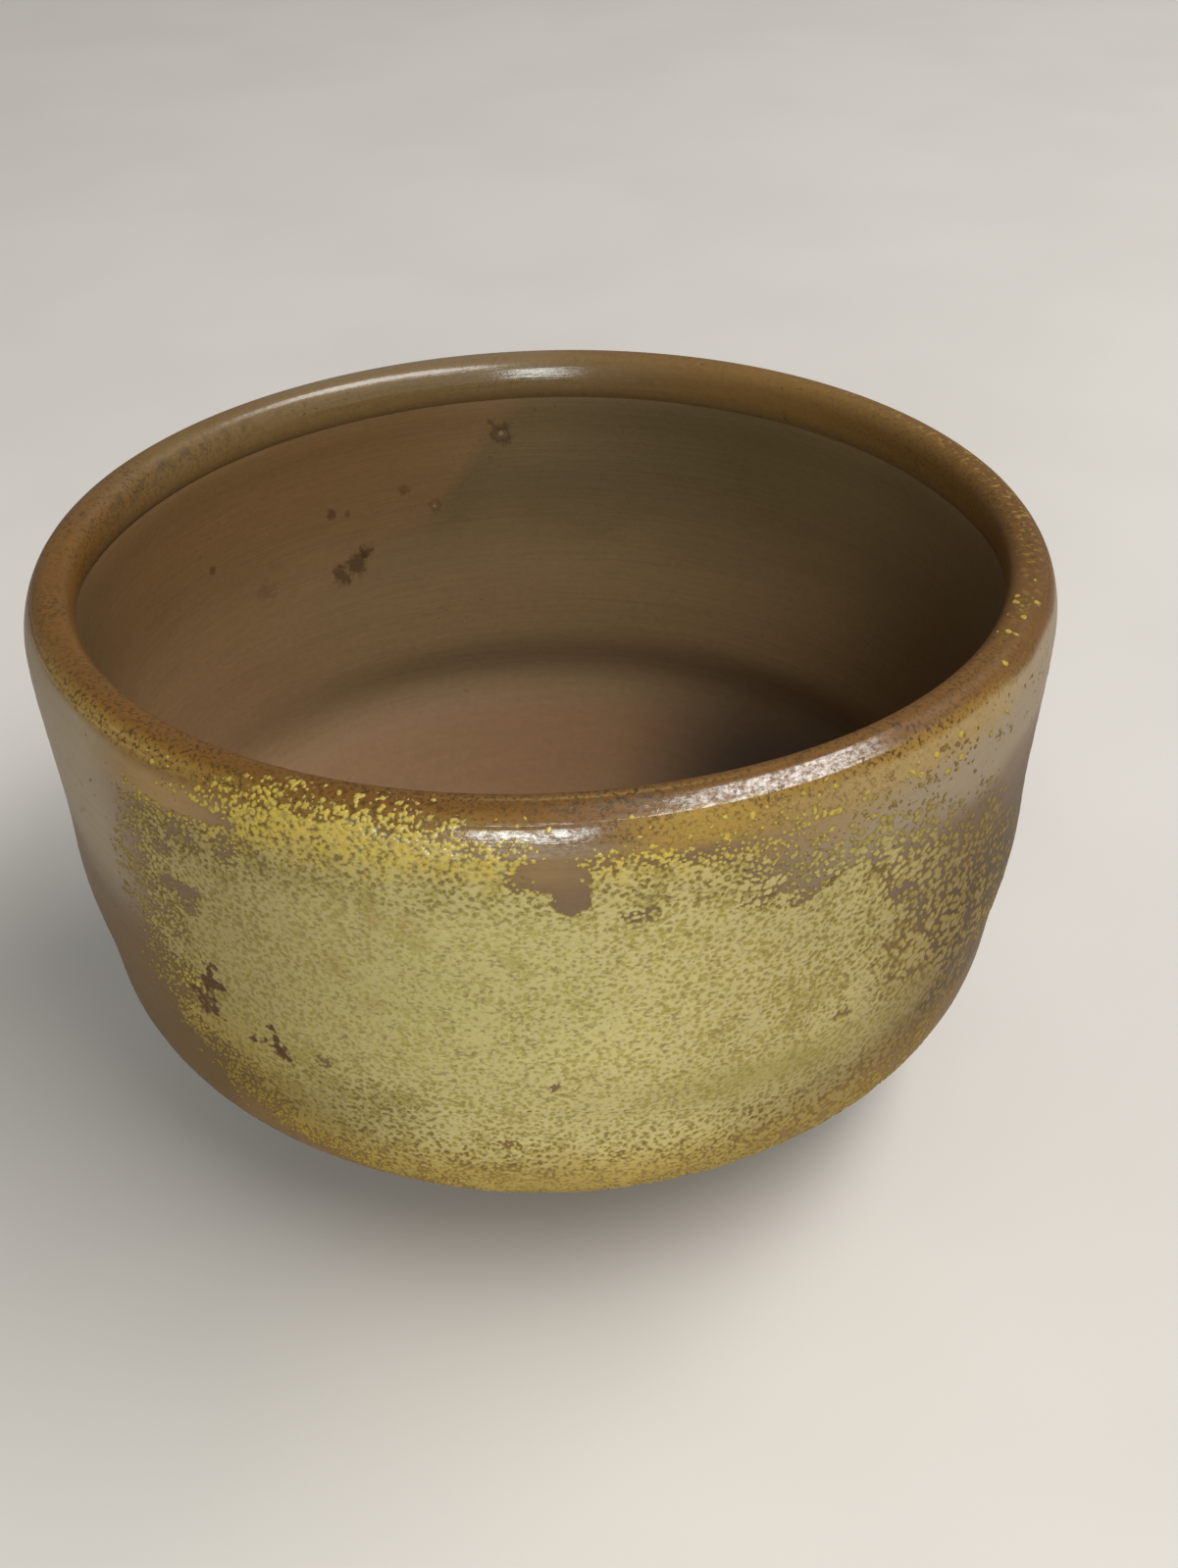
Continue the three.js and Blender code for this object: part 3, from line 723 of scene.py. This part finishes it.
# The outer wall: grey upper flanks, partly painted sheen; dark brown lower down, partly painted shade; amber
# near the foot with two flashes at the back, the scraped underside, and how much room the iron specks have
def wallTones(at):
    side, height, waver, outer = at.side, at.height, at.waver, at.outer
    fromBack, rightward = ease(105, 172, side), ease(172, 105, side)
    leftFlank = np.where(side > 0, fromBack, ease(-42, -54, side))
    leftShade = np.where(side > 0, fromBack, ease(-24, -46, side))
    reach = 4 * ease(60, 90, side)
    rightFlank = ease(55 - reach, 62 + 0.5 * reach, height + 0.8 * waver) * ease(14, 36, side) * rightward
    # The flanks' grey: partly the clay's own mauve grey, partly painted sheen, most of it on the left flank
    greyFlankAndSheen = np.maximum(1.1 * ease(38, 56, height + 1.5 * waver) * leftFlank, rightFlank)
    # Painted shade: the lower left flank and the right flank below its grey band darkened towards dark brown,
    # partly the clay's own brown
    brownAndPaintedShade = np.maximum(0.9 * ease(50, 32, height + waver) * leftShade,
                       ease(62, 44, height + 0.6 * waver) * ease(36, 52, side) * rightward
                       * (0.9 - 0.35 * ease(68, 95, side)))
    strayed = side + 6 * waver + 5 * ringDrift(at.turn, at.s, 24, 8.0, 37)
    amber = np.maximum(ease(30, 23, height + waver) * span(strayed, -58, -22, 38, 78),
                       0.4 * ease(48, 36, height + waver) * span(side, -110, -80, -46, -30))
    backFlash = ease(95, 125, np.abs(side)) * ease(0.1, 1.2, ringDrift(at.turn, at.s, 12, 16, 33))
    patches = 0.1 + 0.6 * ease(0.2, 1.6, ringDrift(at.turn, at.s, 48, 3.0, 35))
    return {
        "greyFlankAndSheen": 0.85 * outer * greyFlankAndSheen, "brownAndPaintedShade": outer * brownAndPaintedShade,
        "amber": np.clip(outer * (amber + 0.55 * backFlash), 0, 1),
        "under": ease(36.5, 33.5, at.s + waver),
        "speckRoom": patches * (1 - 0.6 * at.inner),
    }


# Inside, the fire left an orange field above a line that falls from the back to the left (turn, height);
# below it and on the right the wall is paler, which is painted light; the floor is pink; the hip between them
# and the floor's right are darker, which is painted shade
fireLine = [(-185, 72), (-172.6, 59.8), (-161.1, 46.6), (-147.5, 40.7), (-130, 36.0), (-100, 30.0)]


# Each tone inside is a product of soft steps, spans and bells over the turn, the height and the radius
def insideTones(at):
    side, far, height, waver, inner = at.side, at.far, at.height, at.waver, at.inner
    softness = 1.9 + 1.8 * ease(56, 44, height)
    above = height - between(far, fireLine) + 0.5 * waver
    low = np.maximum(ease(-5, -50, far), ease(95, 150, far))
    # The floor's pink carried up the low left wall, where it is partly painted light
    leftPinkLight = 0.5 * ease(50, 32, height + waver) * span(far, -150, -118, -50, -20)
    return {
        "inside": inner,
        # Painted light: paler colour on the lower inner wall, on the right wall and just under the far lip
        "paintedLightInside": inner * (0.85 * ease(60, 35, height + 0.5 * waver) ** 1.4 * low
                              + 0.16 * span(far, 62, 92, 128, 150)
                              + 0.2 * bell(turnFrom(-177, side), 0, 13) * ease(50, 59, height)),
        "insideOrange": inner * ease(-0.8 * softness, 1.6 * softness, above) * ease(-72, -108, far),
        # Painted shadow: the floor and the hip on the right darkened
        "paintedShadowRight": 0.85 * inner * span(side, 45, 80, 138, 172) * ease(31, 17, height),
        "floorPinkAndLight": inner * np.maximum(ease(50.5, 46.5, at.radius + 0.6 * waver) * ease(30, 20, height),
                                        leftPinkLight),
        # Painted shade: a darker band round the inner hip
        "paintedHipShade": inner * bell(height, 26.0, 3.0) * (at.radius > 40) * (0.85 - 0.5 * bell(far, -120, 34)),
    }


# The bowl: the section's points, closer together round the lip and the cut line, carried round the axis,
# with one point on the axis at either end
def makeBody(material):
    stops = [0, 30, outsideS(22), outsideS(64.5), topS + 9, insideS(33), lineS[-1]]
    parts = [np.linspace(stops[k], stops[k + 1], count, endpoint=stops[k + 1] == lineS[-1])
             for k, count in enumerate(bowl["rows"])]
    nearCut = cutS + np.linspace(*bowl["cutRows"])
    s = np.sort(np.concatenate([*parts, nearCut]))
    turn = np.radians(np.arange(bowl["columns"]) * 360 / bowl["columns"])
    turnGrid, sGrid = np.meshgrid(turn, s[1:-1])
    points = clayPoint(turnGrid, sGrid, -bowl["cutLine"]["depth"] * cutPlace(turnGrid, sGrid))
    rows, columns = turnGrid.shape
    count = rows * columns
    numbers = np.arange(count).reshape(rows, columns)
    ends = clayPoint(np.zeros(2), s[[0, -1]], 0.0)
    ends[:, :2] = 0
    first = np.stack([np.full(columns, count), np.roll(numbers[0], -1), numbers[0]], -1)
    last = np.stack([numbers[-1], np.roll(numbers[-1], -1), np.full(columns, count + 1)], -1)
    at = clayPlaces(turnGrid, sGrid)
    tones = {**insideTones(at), **lipTones(at), **wallTones(at)}
    values = {key: np.concatenate([value.ravel(), value[0, :1], value[-1, :1]])
              for key, value in tones.items()}
    points = np.concatenate([points.reshape(-1, 3), ends])
    faces = [(gridCorners(numbers, True), 4), (first, 3), (last, 3)]
    piece = makePiece("thrown_bowl", points, faces, values, material)
    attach(piece, "root")
    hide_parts("bowl_body")


foot = {
    "outer": 29.5, "inner": 24.0, "height": 3.9, "taper": 0.8, "edge": 0.9,
    "slip": 0.8, "slipFrom": 0.62,     # slip in the joint flares the ring from this share of its height up
    "intoSeat": 0.75,                  # the ring reaches this far above its height, into the bowl's clay
    "wobble": 0.06, "worn": 0.8,       # this much of it, from the bottom up, is worn pale
    "edgeSteps": 10, "wallSteps": 14, "columns": 256,
}


# The foot's section: a tapered band with round edges, flared a little by slip where it joins the bowl
def makeFoot(material):
    outer, inner, taper, edge = foot["outer"], foot["inner"], foot["taper"], foot["edge"]
    a = np.radians(np.linspace(0, 90, foot["edgeSteps"]))
    outR, inR = outer - taper, inner + taper
    up = np.linspace(0, 1, foot["wallSteps"])[1:]
    flare = foot["slip"] * ease(foot["slipFrom"], 1.0, up) ** 2
    top = foot["height"] + foot["intoSeat"]
    down, back = up[::-1], a[::-1]
    radius = np.concatenate([outR - edge + edge * np.sin(a), outR + taper * up + flare,
                             inner - flare[::-1] + taper * (1 - down), inR + edge - edge * np.sin(back)])
    height = np.concatenate([edge - edge * np.cos(a), edge + (top - edge) * up,
                             edge + (top - edge) * down, edge - edge * np.cos(back)])
    turn = np.radians(np.arange(foot["columns"]) * 360 / foot["columns"])
    turnGrid, index = np.meshgrid(turn, np.arange(len(radius)))
    wobble = foot["wobble"] * ringDrift(turnGrid, height[index], 24, 1.1, 41) * ease(0, 0.6, height[index])
    r = radius[index] + wobble
    points = np.stack([r * np.sin(turnGrid), -r * np.cos(turnGrid), height[index]], -1)
    numbers = np.arange(r.size).reshape(r.shape)
    ring = np.concatenate([numbers, numbers[:1]])
    values = {"worn": ease(foot["worn"], 0.1, height[index])}
    piece = makePiece("turned_foot", points.reshape(-1, 3), [(gridCorners(ring, True), 4)], values, material)
    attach(piece, "root")
    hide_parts("foot_ring")


coat = {
    "left": -63.0, "right": 76.0,      # turns that the granules reach
    "lowest": 14.5, "pastTop": 1.6,    # height of its lower edge, and how far it goes past the crown
    "pieces": ("far_left", "left", "right", "far_right"), "columnsEach": 240, "rows": 380,
    "cell": 20,                        # columns and rows of the sheet in one cell of the coarse back
    "wallRadius": 58.0,                # turns times this give lengths along the wall
    # heights over the clay: full glass, single grains, thin film and the floor of a scar; then under it:
    # places without ash, the sheet's edge, the skirt and the coarse back
    "thickness": 0.17, "grain": 0.12, "film": 0.035, "scarFloor": 0.012,
    "hidden": -0.13, "backing": -0.55, "skirt": -0.65, "core": -1.0,
}

# The coat's edges: left and right as (height, turn), low and top as (turn, height)
coatEdges = {
    "left": [(17, -38), (25, -43), (30, -47), (35, -50), (40, -52), (45, -53), (50, -53), (55, -52.5),
             (60, -51), (66, -48), (69, -41), (71, -35)],
    "right": [(17, 54), (25, 62), (30, 66), (35, 69), (40, 71), (45, 70), (50, 66), (55, 60), (59, 54),
              (62, 47), (66, 38), (70, 24)],
    "low": [(-50, 22.5), (-34, 20.5), (-22, 17), (-8, 13.5), (55, 13), (70, 17)],
    "top": [(-60, 66.5), (-40, 67.9), (-34, 70.4), (-28, 71.2), (-12, 70.9), (-6, 68.8), (0, 67.0),
            (8, 67.0), (30, 66.0), (60, 62)],
}

# Bare or thin places in the ash: turn, height, half width in degrees, half height, slant, share taken away
barePlaces = [
    (0.6, 64.6, 3.6, 1.9, 0.0, 1.0), (2.2, 62.2, 1.9, 2.0, 0.0, 1.0), (-40.4, 54.4, 3.4, 1.2, -0.12, 0.8),
    (-39.2, 52.4, 1.3, 1.2, 0.3, 0.75), (-41.2, 59.2, 1.3, 1.2, 0.5, 0.7), (-37.8, 66.3, 7.0, 1.0, 0.1, 1.0),
    (-31.6, 62.6, 1.7, 2.0, 0.0, 0.55), (9.0, 59.4, 2.0, 1.0, 0.0, 0.32), (20.2, 58.2, 1.5, 0.9, 0.0, 0.35),
    (24.5, 60.6, 4.4, 2.8, 0.1, 0.3), (26.0, 57.4, 1.6, 1.0, 0.0, 0.35), (-5.2, 27.0, 1.1, 0.7, 0.1, 0.6),
    (0.4, 36.6, 0.6, 0.7, 0.2, 0.75), (-24.4, 36.5, 0.8, 0.7, 0.0, 0.6), (39.0, 52.4, 1.5, 1.3, 0.0, 0.35),
    (-2.2, 32.8, 0.9, 0.4, 0.0, 0.4), (32.3, 38.2, 0.9, 0.8, 0.0, 0.6), (-42.4, 39.6, 1.8, 3.0, 0.2, 0.4),
]

# Scars: strokes of bare dark clay, each from (turn, height) to (turn, height) with a half width in mm
scars = [
    ((-38.2, 44.6), (-38.8, 41.6), 0.5), ((-38.9, 42.4), (-36.9, 41.9), 0.65),
    ((-38.6, 42.0), (-40.0, 37.6), 0.8), ((-41.8, 39.8), (-40.6, 39.2), 0.7),
    ((-38.6, 39.4), (-38.4, 37.4), 0.55), ((-33.2, 36.3), (-29.8, 36.2), 0.6),
    ((-30.4, 36.2), (-30.2, 39.0), 0.35), ((-30.4, 35.9), (-29.3, 34.8), 0.55),
]

# Tones of the ash that lie in spots: size, turn, half width in degrees, height, half height in mm
ashSpots = {
    "thin": [(0.14, -19, 11, 32.5, 4.5)],
    "lone": [(0.16, 26, 20, 65.5, 3), (0.09, 22, 18, 67.6, 1.4)],
    "green": [(0.7, -13, 20, 50, 15)],
    "olive": [(1.1, 26, 16, 33.6, 3.0), (0.4, -38, 12, 36, 12)],
    "yellow": [(0.8, -41.6, 1.6, 41.0, 1.6)],
    "stain": [(1, -16.5, 1.2, 58.5, 1.4), (1, -13.4, 1.3, 58, 1.4), (1, -21.5, 1.2, 51.5, 1.2),
              (1, -18, 1.3, 46.5, 1.0), (0.8, 1.5, 2.2, 25, 1.5)],
}

# The ash's random fields. A sum's rows are share, stretch along the turning direction, size in mm and seed;
# the grains' are size in mm, seed and radius in cells.
ashFields = {
    "lumps": [(0.2, 1.1, 0.4, 61), (0.34, 1.2, 1.1, 63), (0.22, 1.0, 2.8, 65)],
    "holes": [(0.09, 1.1, 0.45, 81), (0.42, 1.0, 2.2, 83)],
    "ragged": [(0.7, 1.0, 0.9, 75), (0.8, 1.0, 0.4, 77)],
    "small": (0.5, 71, 0.62), "large": (0.84, 73, 0.62), "pores": (0.66, 79, 0.48), "stretch": 1.1,
    "origin": (400, 100),              # keeps the lattice's own edges away from the coat
}


# How much of the clay the ash covers, 0 to 1: soft edges left, right, below and above, times its fullness,
# less the bare places, each a squarish oval; or single beads on the lip, away from the coat
def ashCover(side, height, s):
    ragged = 1.1 * grain(side, height, 3.2, 51)
    fromLeft = side - between(height, coatEdges["left"]) + ragged
    fromRight = between(height, coatEdges["right"]) - side + ragged
    fromLow = height - between(side, coatEdges["low"]) + 0.3 * ragged
    overTop = height + 0.35 * ragged - between(side, coatEdges["top"])
    cover = ease(-2, 17, fromLeft) ** 0.8 * ease(-3, 30, fromRight) ** 0.8 * ease(-1.0, 6.5, fromLow) ** 0.7
    fullness = (0.9 - spots(side, height, ashSpots["thin"]) - 0.2 * ease(31, 22, height)
                - 0.14 * ease(57, 62, height) - 0.06 * ease(12, 30, side) - 0.06 * ease(-20, -34, side)
                - 0.18 * ease(28, 44, side) * ease(33, 40, height))
    cover = cover * (1 - 0.95 * ease(-2.4, 1.6, overTop)) * fullness
    for turn, middle, wide, tall, slant, share in barePlaces:
        a, b = (side - turn) / wide, (height - middle) / tall
        away = (np.abs(a + slant * b) ** 3 + np.abs(b - slant * a) ** 3) ** (1 / 3)
        soft = 0.6 * (1 - share)
        cover = cover * (1 - share * ease(1.25 + soft, 0.8 - soft, away + (0.1 + 0.2 * soft) * ragged))
    cover = cover * ease(topS + 0.9, topS - 0.6, s)
    frontBeads = bell(side, -19, 15) * bell(height, 69.9, 1.0) * ease(-3, -9, side)
    rightBeads = ease(48, 66, side) * ease(69.6, 70.8, height)
    lone = 0.38 * frontBeads * ease(topS - 0.2, topS - 1.2, s) + 0.09 * rightBeads
    return np.clip(np.maximum(cover, lone + spots(side, height, ashSpots["lone"])), 0, 1)


# How bare a scar leaves the clay, 0 to 1: the distance in mm from each stroke's straight line, made ragged
def scarDepth(side, height, ragged):
    across = np.radians(side) * coat["wallRadius"]
    deep = np.zeros(side.shape)
    for (startTurn, startHeight), (endTurn, endHeight), half in scars:
        startAcross = math.radians(startTurn) * coat["wallRadius"]
        runAcross, runUp = math.radians(endTurn) * coat["wallRadius"] - startAcross, endHeight - startHeight
        px, py = across - startAcross, height - startHeight
        along = np.clip((px * runAcross + py * runUp) / (runAcross ** 2 + runUp ** 2), 0, 1)
        away = np.hypot(px - along * runAcross, py - along * runUp) + 0.34 * ragged
        deep = np.maximum(deep, ease(half * 1.3, half * 0.6, away))
    return deep


# The ash's height over the clay: a thin glass where the cover is full, lumpy and broken by holes where it is
# less, with separate domes at its edges, all longer along the turning direction than across it.
# Returns that and the tones, which follow the glass's depth, the turn and the height.
def ashRelief(turn, s):
    side = np.degrees(turn)
    height = np.interp(s, lineS, lineZ)
    across = side * math.radians(1) * coat["wallRadius"] + ashFields["origin"][0]
    up = s + ashFields["origin"][1]
    cover = ashCover(side, height, s)
    summed = {}
    for key in ("lumps", "holes", "ragged"):
        summed[key] = sum(share * grain(across / stretch, up, size, seed)
                          for share, stretch, size, seed in ashFields[key])
    stretched = across / ashFields["stretch"]
    small, smallNumber = grains(stretched, up, *ashFields["small"])
    large, largeNumber = grains(stretched, up, *ashFields["large"])
    pore = grains(stretched, up, *ashFields["pores"])[0]
    coarse = ease(18, 36, side)
    dome = small * (1 - coarse) + large * coarse
    number = np.where(coarse < 0.5, smallNumber, largeNumber)
    lumps = rank(summed["lumps"] - 2.0 * dome)
    holes = rank(summed["holes"] + 2.3 * pore - 0.15 * small)
    full = ease(0.62, 0.8, cover)
    margin = cover - lumps * (1 - full) - holes * full
    solid = ease(-0.05, 0.2, margin)
    body = ease(0.0, 0.5, margin)
    film = ease(0.6, 0.86, cover) * (1 - 0.4 * ease(33, 25, height))
    bead = dome * (number < cover * 1.1) * (cover > 0.02)
    scar = scarDepth(side, height, summed["ragged"])
    glass = coat["thickness"] * solid * (0.42 + 0.34 * body + 0.24 * dome)
    beads = coat["grain"] * bead * (1 - 0.7 * solid)
    rise = np.maximum(np.maximum(glass, beads), coat["film"] * film * (film > 0.1))
    bare = (solid < 0.02) & (bead < 0.05) & (film < 0.1)
    rise = rise * (1 - 0.4 * ease(34, 58, side)) * (1 - 0.35 * ease(0.7, 0.88, cover))
    rise = np.where(bare, coat["hidden"], rise) * (1 - scar) + coat["scarFloor"] * scar
    filmDepth = film * (0.28 + 0.27 * ease(0.76, 0.9, cover))
    depth = np.clip(np.maximum(np.maximum(solid * (0.5 + 0.5 * body), 0.7 * bead), filmDepth), 0, 1)
    onLip = ease(62.0, 68.6, height + 0.8 * summed["ragged"])
    loose = np.clip(1.1 - cover * 1.4, 0, 1)
    low = ease(36, 24, height)
    # Browner and darker towards the coat's sides and bottom: partly the ash's thin edge, partly painted shade
    edge = (0.48 * ease(-2, -42, side) + 0.22 * ease(5, 30, side) + 0.56 * ease(32, 54, side)
            + 0.5 * low * ease(-8, -36, side) + 0.34 * low * ease(10, 34, side)
            + 0.12 * ease(56, 64, height))
    yellow = (0.75 * onLip + 0.1 * loose + 0.36 * ease(28, 20, height)
              + 0.24 * ease(-20, -36, side) * ease(44, 34, height) + spots(side, height, ashSpots["yellow"]))
    warm = (0.75 * ease(27, 20, height) + 0.35 * ease(32, 26, height) * ease(20, 40, np.abs(side))
            + 0.35 * ease(30, 52, side) + 0.6 * ease(-30, -42, side) * ease(46, 32, height))
    shine = clayGloss(side, s) + 0.75 * bell(side, -13, 8) * ease(66.5, 68, height)
    values = {
        "depth": depth, "scar": scar, "pitRoom": ease(0.3, 0.6, depth),
        "edge": np.clip(edge, 0, 0.85),
        "yellow": ease(0.12, 0.75, depth) * np.clip(yellow, 0, 1),
        "green": spots(side, height, ashSpots["green"]),
        "olive": 0.75 * np.clip(spots(side, height, ashSpots["olive"]), 0, 1),
        "warm": np.clip(warm, 0, 1),
        "stain": 0.75 * np.clip(spots(side, height, ashSpots["stain"]), 0, 1),
        "gloss": 0.9 * np.clip(shine, 0, 1),
    }
    return rise, values


# One sheet of ash over the clay, cut upright into pieces that share their edges' points and normals.
# Each piece is closed by a skirt that goes down into the clay and by a coarse back inside it.
def makeCoat(material):
    columns, rows, cell = coat["columnsEach"], coat["rows"], coat["cell"]
    turn = np.radians(np.linspace(coat["left"], coat["right"], columns * len(coat["pieces"]) + 1))
    s = np.linspace(outsideS(coat["lowest"]), topS + coat["pastTop"], rows + 1)
    turnGrid, sGrid = np.meshgrid(turn, s)
    rise, values = ashRelief(turnGrid, sGrid)
    rise[[0, -1]] = coat["backing"]
    sheet = clayPoint(turnGrid, sGrid, rise)
    facing = np.cross(np.gradient(sheet, axis=1), np.gradient(sheet, axis=0))
    facing /= np.linalg.norm(facing, axis=-1, keepdims=True)
    skirt = clayPoint(turnGrid, sGrid, coat["skirt"])
    core = clayPoint(turnGrid[::cell, ::cell], sGrid[::cell, ::cell], coat["core"])
    for k, name in enumerate(coat["pieces"]):
        first, last = k * columns, (k + 1) * columns
        part = [first, *range(first, last + 1), last]
        front = sheet[:, part]
        front[:, [0, -1]] = skirt[:, [first, last]]
        back = core[1:-1, first // cell + 1:last // cell]
        numbers = np.arange(front.shape[0] * front.shape[1]).reshape(front.shape[:2])
        stops = [0, *range(1 + cell, 1 + columns, cell), columns + 2]
        coarse = numbers[::cell][:, stops].copy()
        coarse[1:-1, 1:-1] = numbers.size + np.arange(back.shape[0] * back.shape[1]).reshape(back.shape[:2])
        lastRow, lastColumn = coarse.shape[0] - 2, coarse.shape[1] - 2
        loops = []
        for i in range(lastRow + 1):
            for j in range(lastColumn + 1):
                alongRow = slice(stops[j], stops[j + 1] + 1)
                alongColumn = slice(i * cell, (i + 1) * cell + 1)
                low = numbers[0, alongRow] if i == 0 else coarse[i, j:j + 2]
                high = numbers[-1, alongRow] if i == lastRow else coarse[i + 1, j:j + 2]
                near = numbers[alongColumn, 0] if j == 0 else coarse[i:i + 2, j]
                far = numbers[alongColumn, -1] if j == lastColumn else coarse[i:i + 2, j + 1]
                loops.append(np.concatenate([near[:-1], high[:-1], far[:0:-1], low[:0:-1]]))
        extra = np.zeros(back.shape[0] * back.shape[1])
        own = {key: np.concatenate([value[:, part].ravel(), extra]) for key, value in values.items()}
        normals = np.concatenate([facing[:, part].reshape(-1, 3), -back.reshape(-1, 3) / bowl["radius"]])
        points = np.concatenate([front.reshape(-1, 3), back.reshape(-1, 3)])
        faces = [(gridCorners(numbers, False), 4), (np.concatenate(loops), [len(loop) for loop in loops])]
        piece = makePiece("ash_skin_" + name, points, faces, own, material, normals)
        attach(piece, "root")
        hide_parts("ash_coat")


makeBody(stoneware())
makeFoot(footClay())
makeCoat(ashGlaze())
print("bowl, foot and ash made")

# Room: a pale floor, soft lamps and an even sky, in metres
room = {
    "floor": "#d6d1cb", "floorShade": "#d0cbc5", "floorHalf": 4.0, "floorRough": 0.8,
    "sky": "#a19e9a", "skyStrength": 0.26,
    # name, turn and rise in degrees, distance, width, height, watts, colour
    "lamps": [("ceiling_strip", 77, 60, 1.0, 1.55, 0.36, 11.2, (1.0, 0.985, 0.96)),
              ("front_window", -4, 18.5, 1.0, 0.38, 0.42, 4.5, (0.93, 1.0, 0.97))],
    "aim": (0.0, 0.0, 0.045),
    "noises": {"fine": (30.0, 2.0, 1.0, 0.5, 0.0)},
    "layers": [("floorShade", None, "fine", (0.4, 0.6, 0.0, 0.5))],
}


# Pale paper: a matt off-white that gives the eye faint clouds; one square face at the foot's resting height
def makeFloor():
    half = room["floorHalf"]
    mesh = bpy.data.meshes.new("floor")
    corners = [(-half, -half, 0), (half, -half, 0), (half, half, 0), (-half, half, 0)]
    mesh.from_pydata(corners, [], [(0, 1, 2, 3)])
    floor = bpy.data.objects.new("floor", mesh)
    bpy.context.scene.collection.objects.link(floor)
    material, tree, shader, field = startMaterial("pale paper", room)
    colour = paintLayers(tree, room, field, linear(room["floor"]), room["layers"])
    tree.links.new(colour, shader.inputs["Base Color"])
    shader.inputs["Roughness"].default_value = room["floorRough"]
    mesh.materials.append(material)


# The sky lights evenly, and is a grey of its own where the camera or a shiny surface sees it
def makeSky():
    world = bpy.data.worlds.new("even sky")
    world.use_nodes = True
    tree = world.node_tree
    tree.nodes.clear()
    path = addNode(tree, "LightPath")
    seen = path.outputs["Is Camera Ray"]
    for ray in ("Is Glossy Ray", "Is Transmission Ray"):
        seen = addNode(tree, "Math", {0: seen, 1: path.outputs[ray]}, operation="MAXIMUM").outputs[0]
    glow = addNode(tree, "Background", {"Color": (1, 1, 1, 1), "Strength": room["skyStrength"]})
    backdrop = addNode(tree, "Background", {"Color": linear(room["sky"]), "Strength": 1.0})
    both = addNode(tree, "MixShader", {0: seen, 1: glow.outputs[0], 2: backdrop.outputs[0]})
    addNode(tree, "OutputWorld", {"Surface": both.outputs[0]})
    bpy.context.scene.world = world


# Each lamp is a soft rectangle that stands off from the aim at its turn and rise, and faces it
def makeLamps():
    aim = Vector(room["aim"])
    for name, turn, rise, away, width, tall, watts, colour in room["lamps"]:
        lamp = bpy.data.lights.new(name, "AREA")
        lamp.shape = "RECTANGLE"
        lamp.size, lamp.size_y = width, tall
        lamp.energy = watts
        lamp.color = colour
        a, e = math.radians(turn), math.radians(rise)
        out = Vector((math.sin(a) * math.cos(e), -math.cos(a) * math.cos(e), math.sin(e)))
        item = bpy.data.objects.new(name, lamp)
        item.location = aim + out * away
        item.rotation_euler = out.to_track_quat("Z", "Y").to_euler()
        bpy.context.scene.collection.objects.link(item)


# Camera: where it stood for the photo, in metres, with its own three directions; lens and sensor in mm
view = {
    "place": (0.00306, -0.225773, 0.18448), "lens": 49.205, "sensor": 36, "clip": (0.01, 20),
    "right": (0.999627, -0.020493, -0.018052), "up": (0.026341, 0.548902, 0.835472),
    "ahead": (0.007212, 0.835635, -0.549237),
}


# The camera looks along its own -Z, so its matrix holds right, up and the way back as columns
def makeCamera():
    lens = bpy.data.cameras.new("photo_view")
    lens.lens = view["lens"]
    lens.sensor_width = view["sensor"]
    lens.clip_start, lens.clip_end = view["clip"]
    camera = bpy.data.objects.new("photo_view", lens)
    bpy.context.scene.collection.objects.link(camera)
    right, up, back = Vector(view["right"]), Vector(view["up"]), -Vector(view["ahead"])
    turned = Matrix((right, up, back)).transposed().to_4x4()
    camera.matrix_world = Matrix.Translation(Vector(view["place"])) @ turned
    bpy.context.scene.camera = camera


makeFloor()
makeSky()
makeLamps()
makeCamera()
bpy.context.scene.view_settings.view_transform = "Standard"
print("room and camera made")
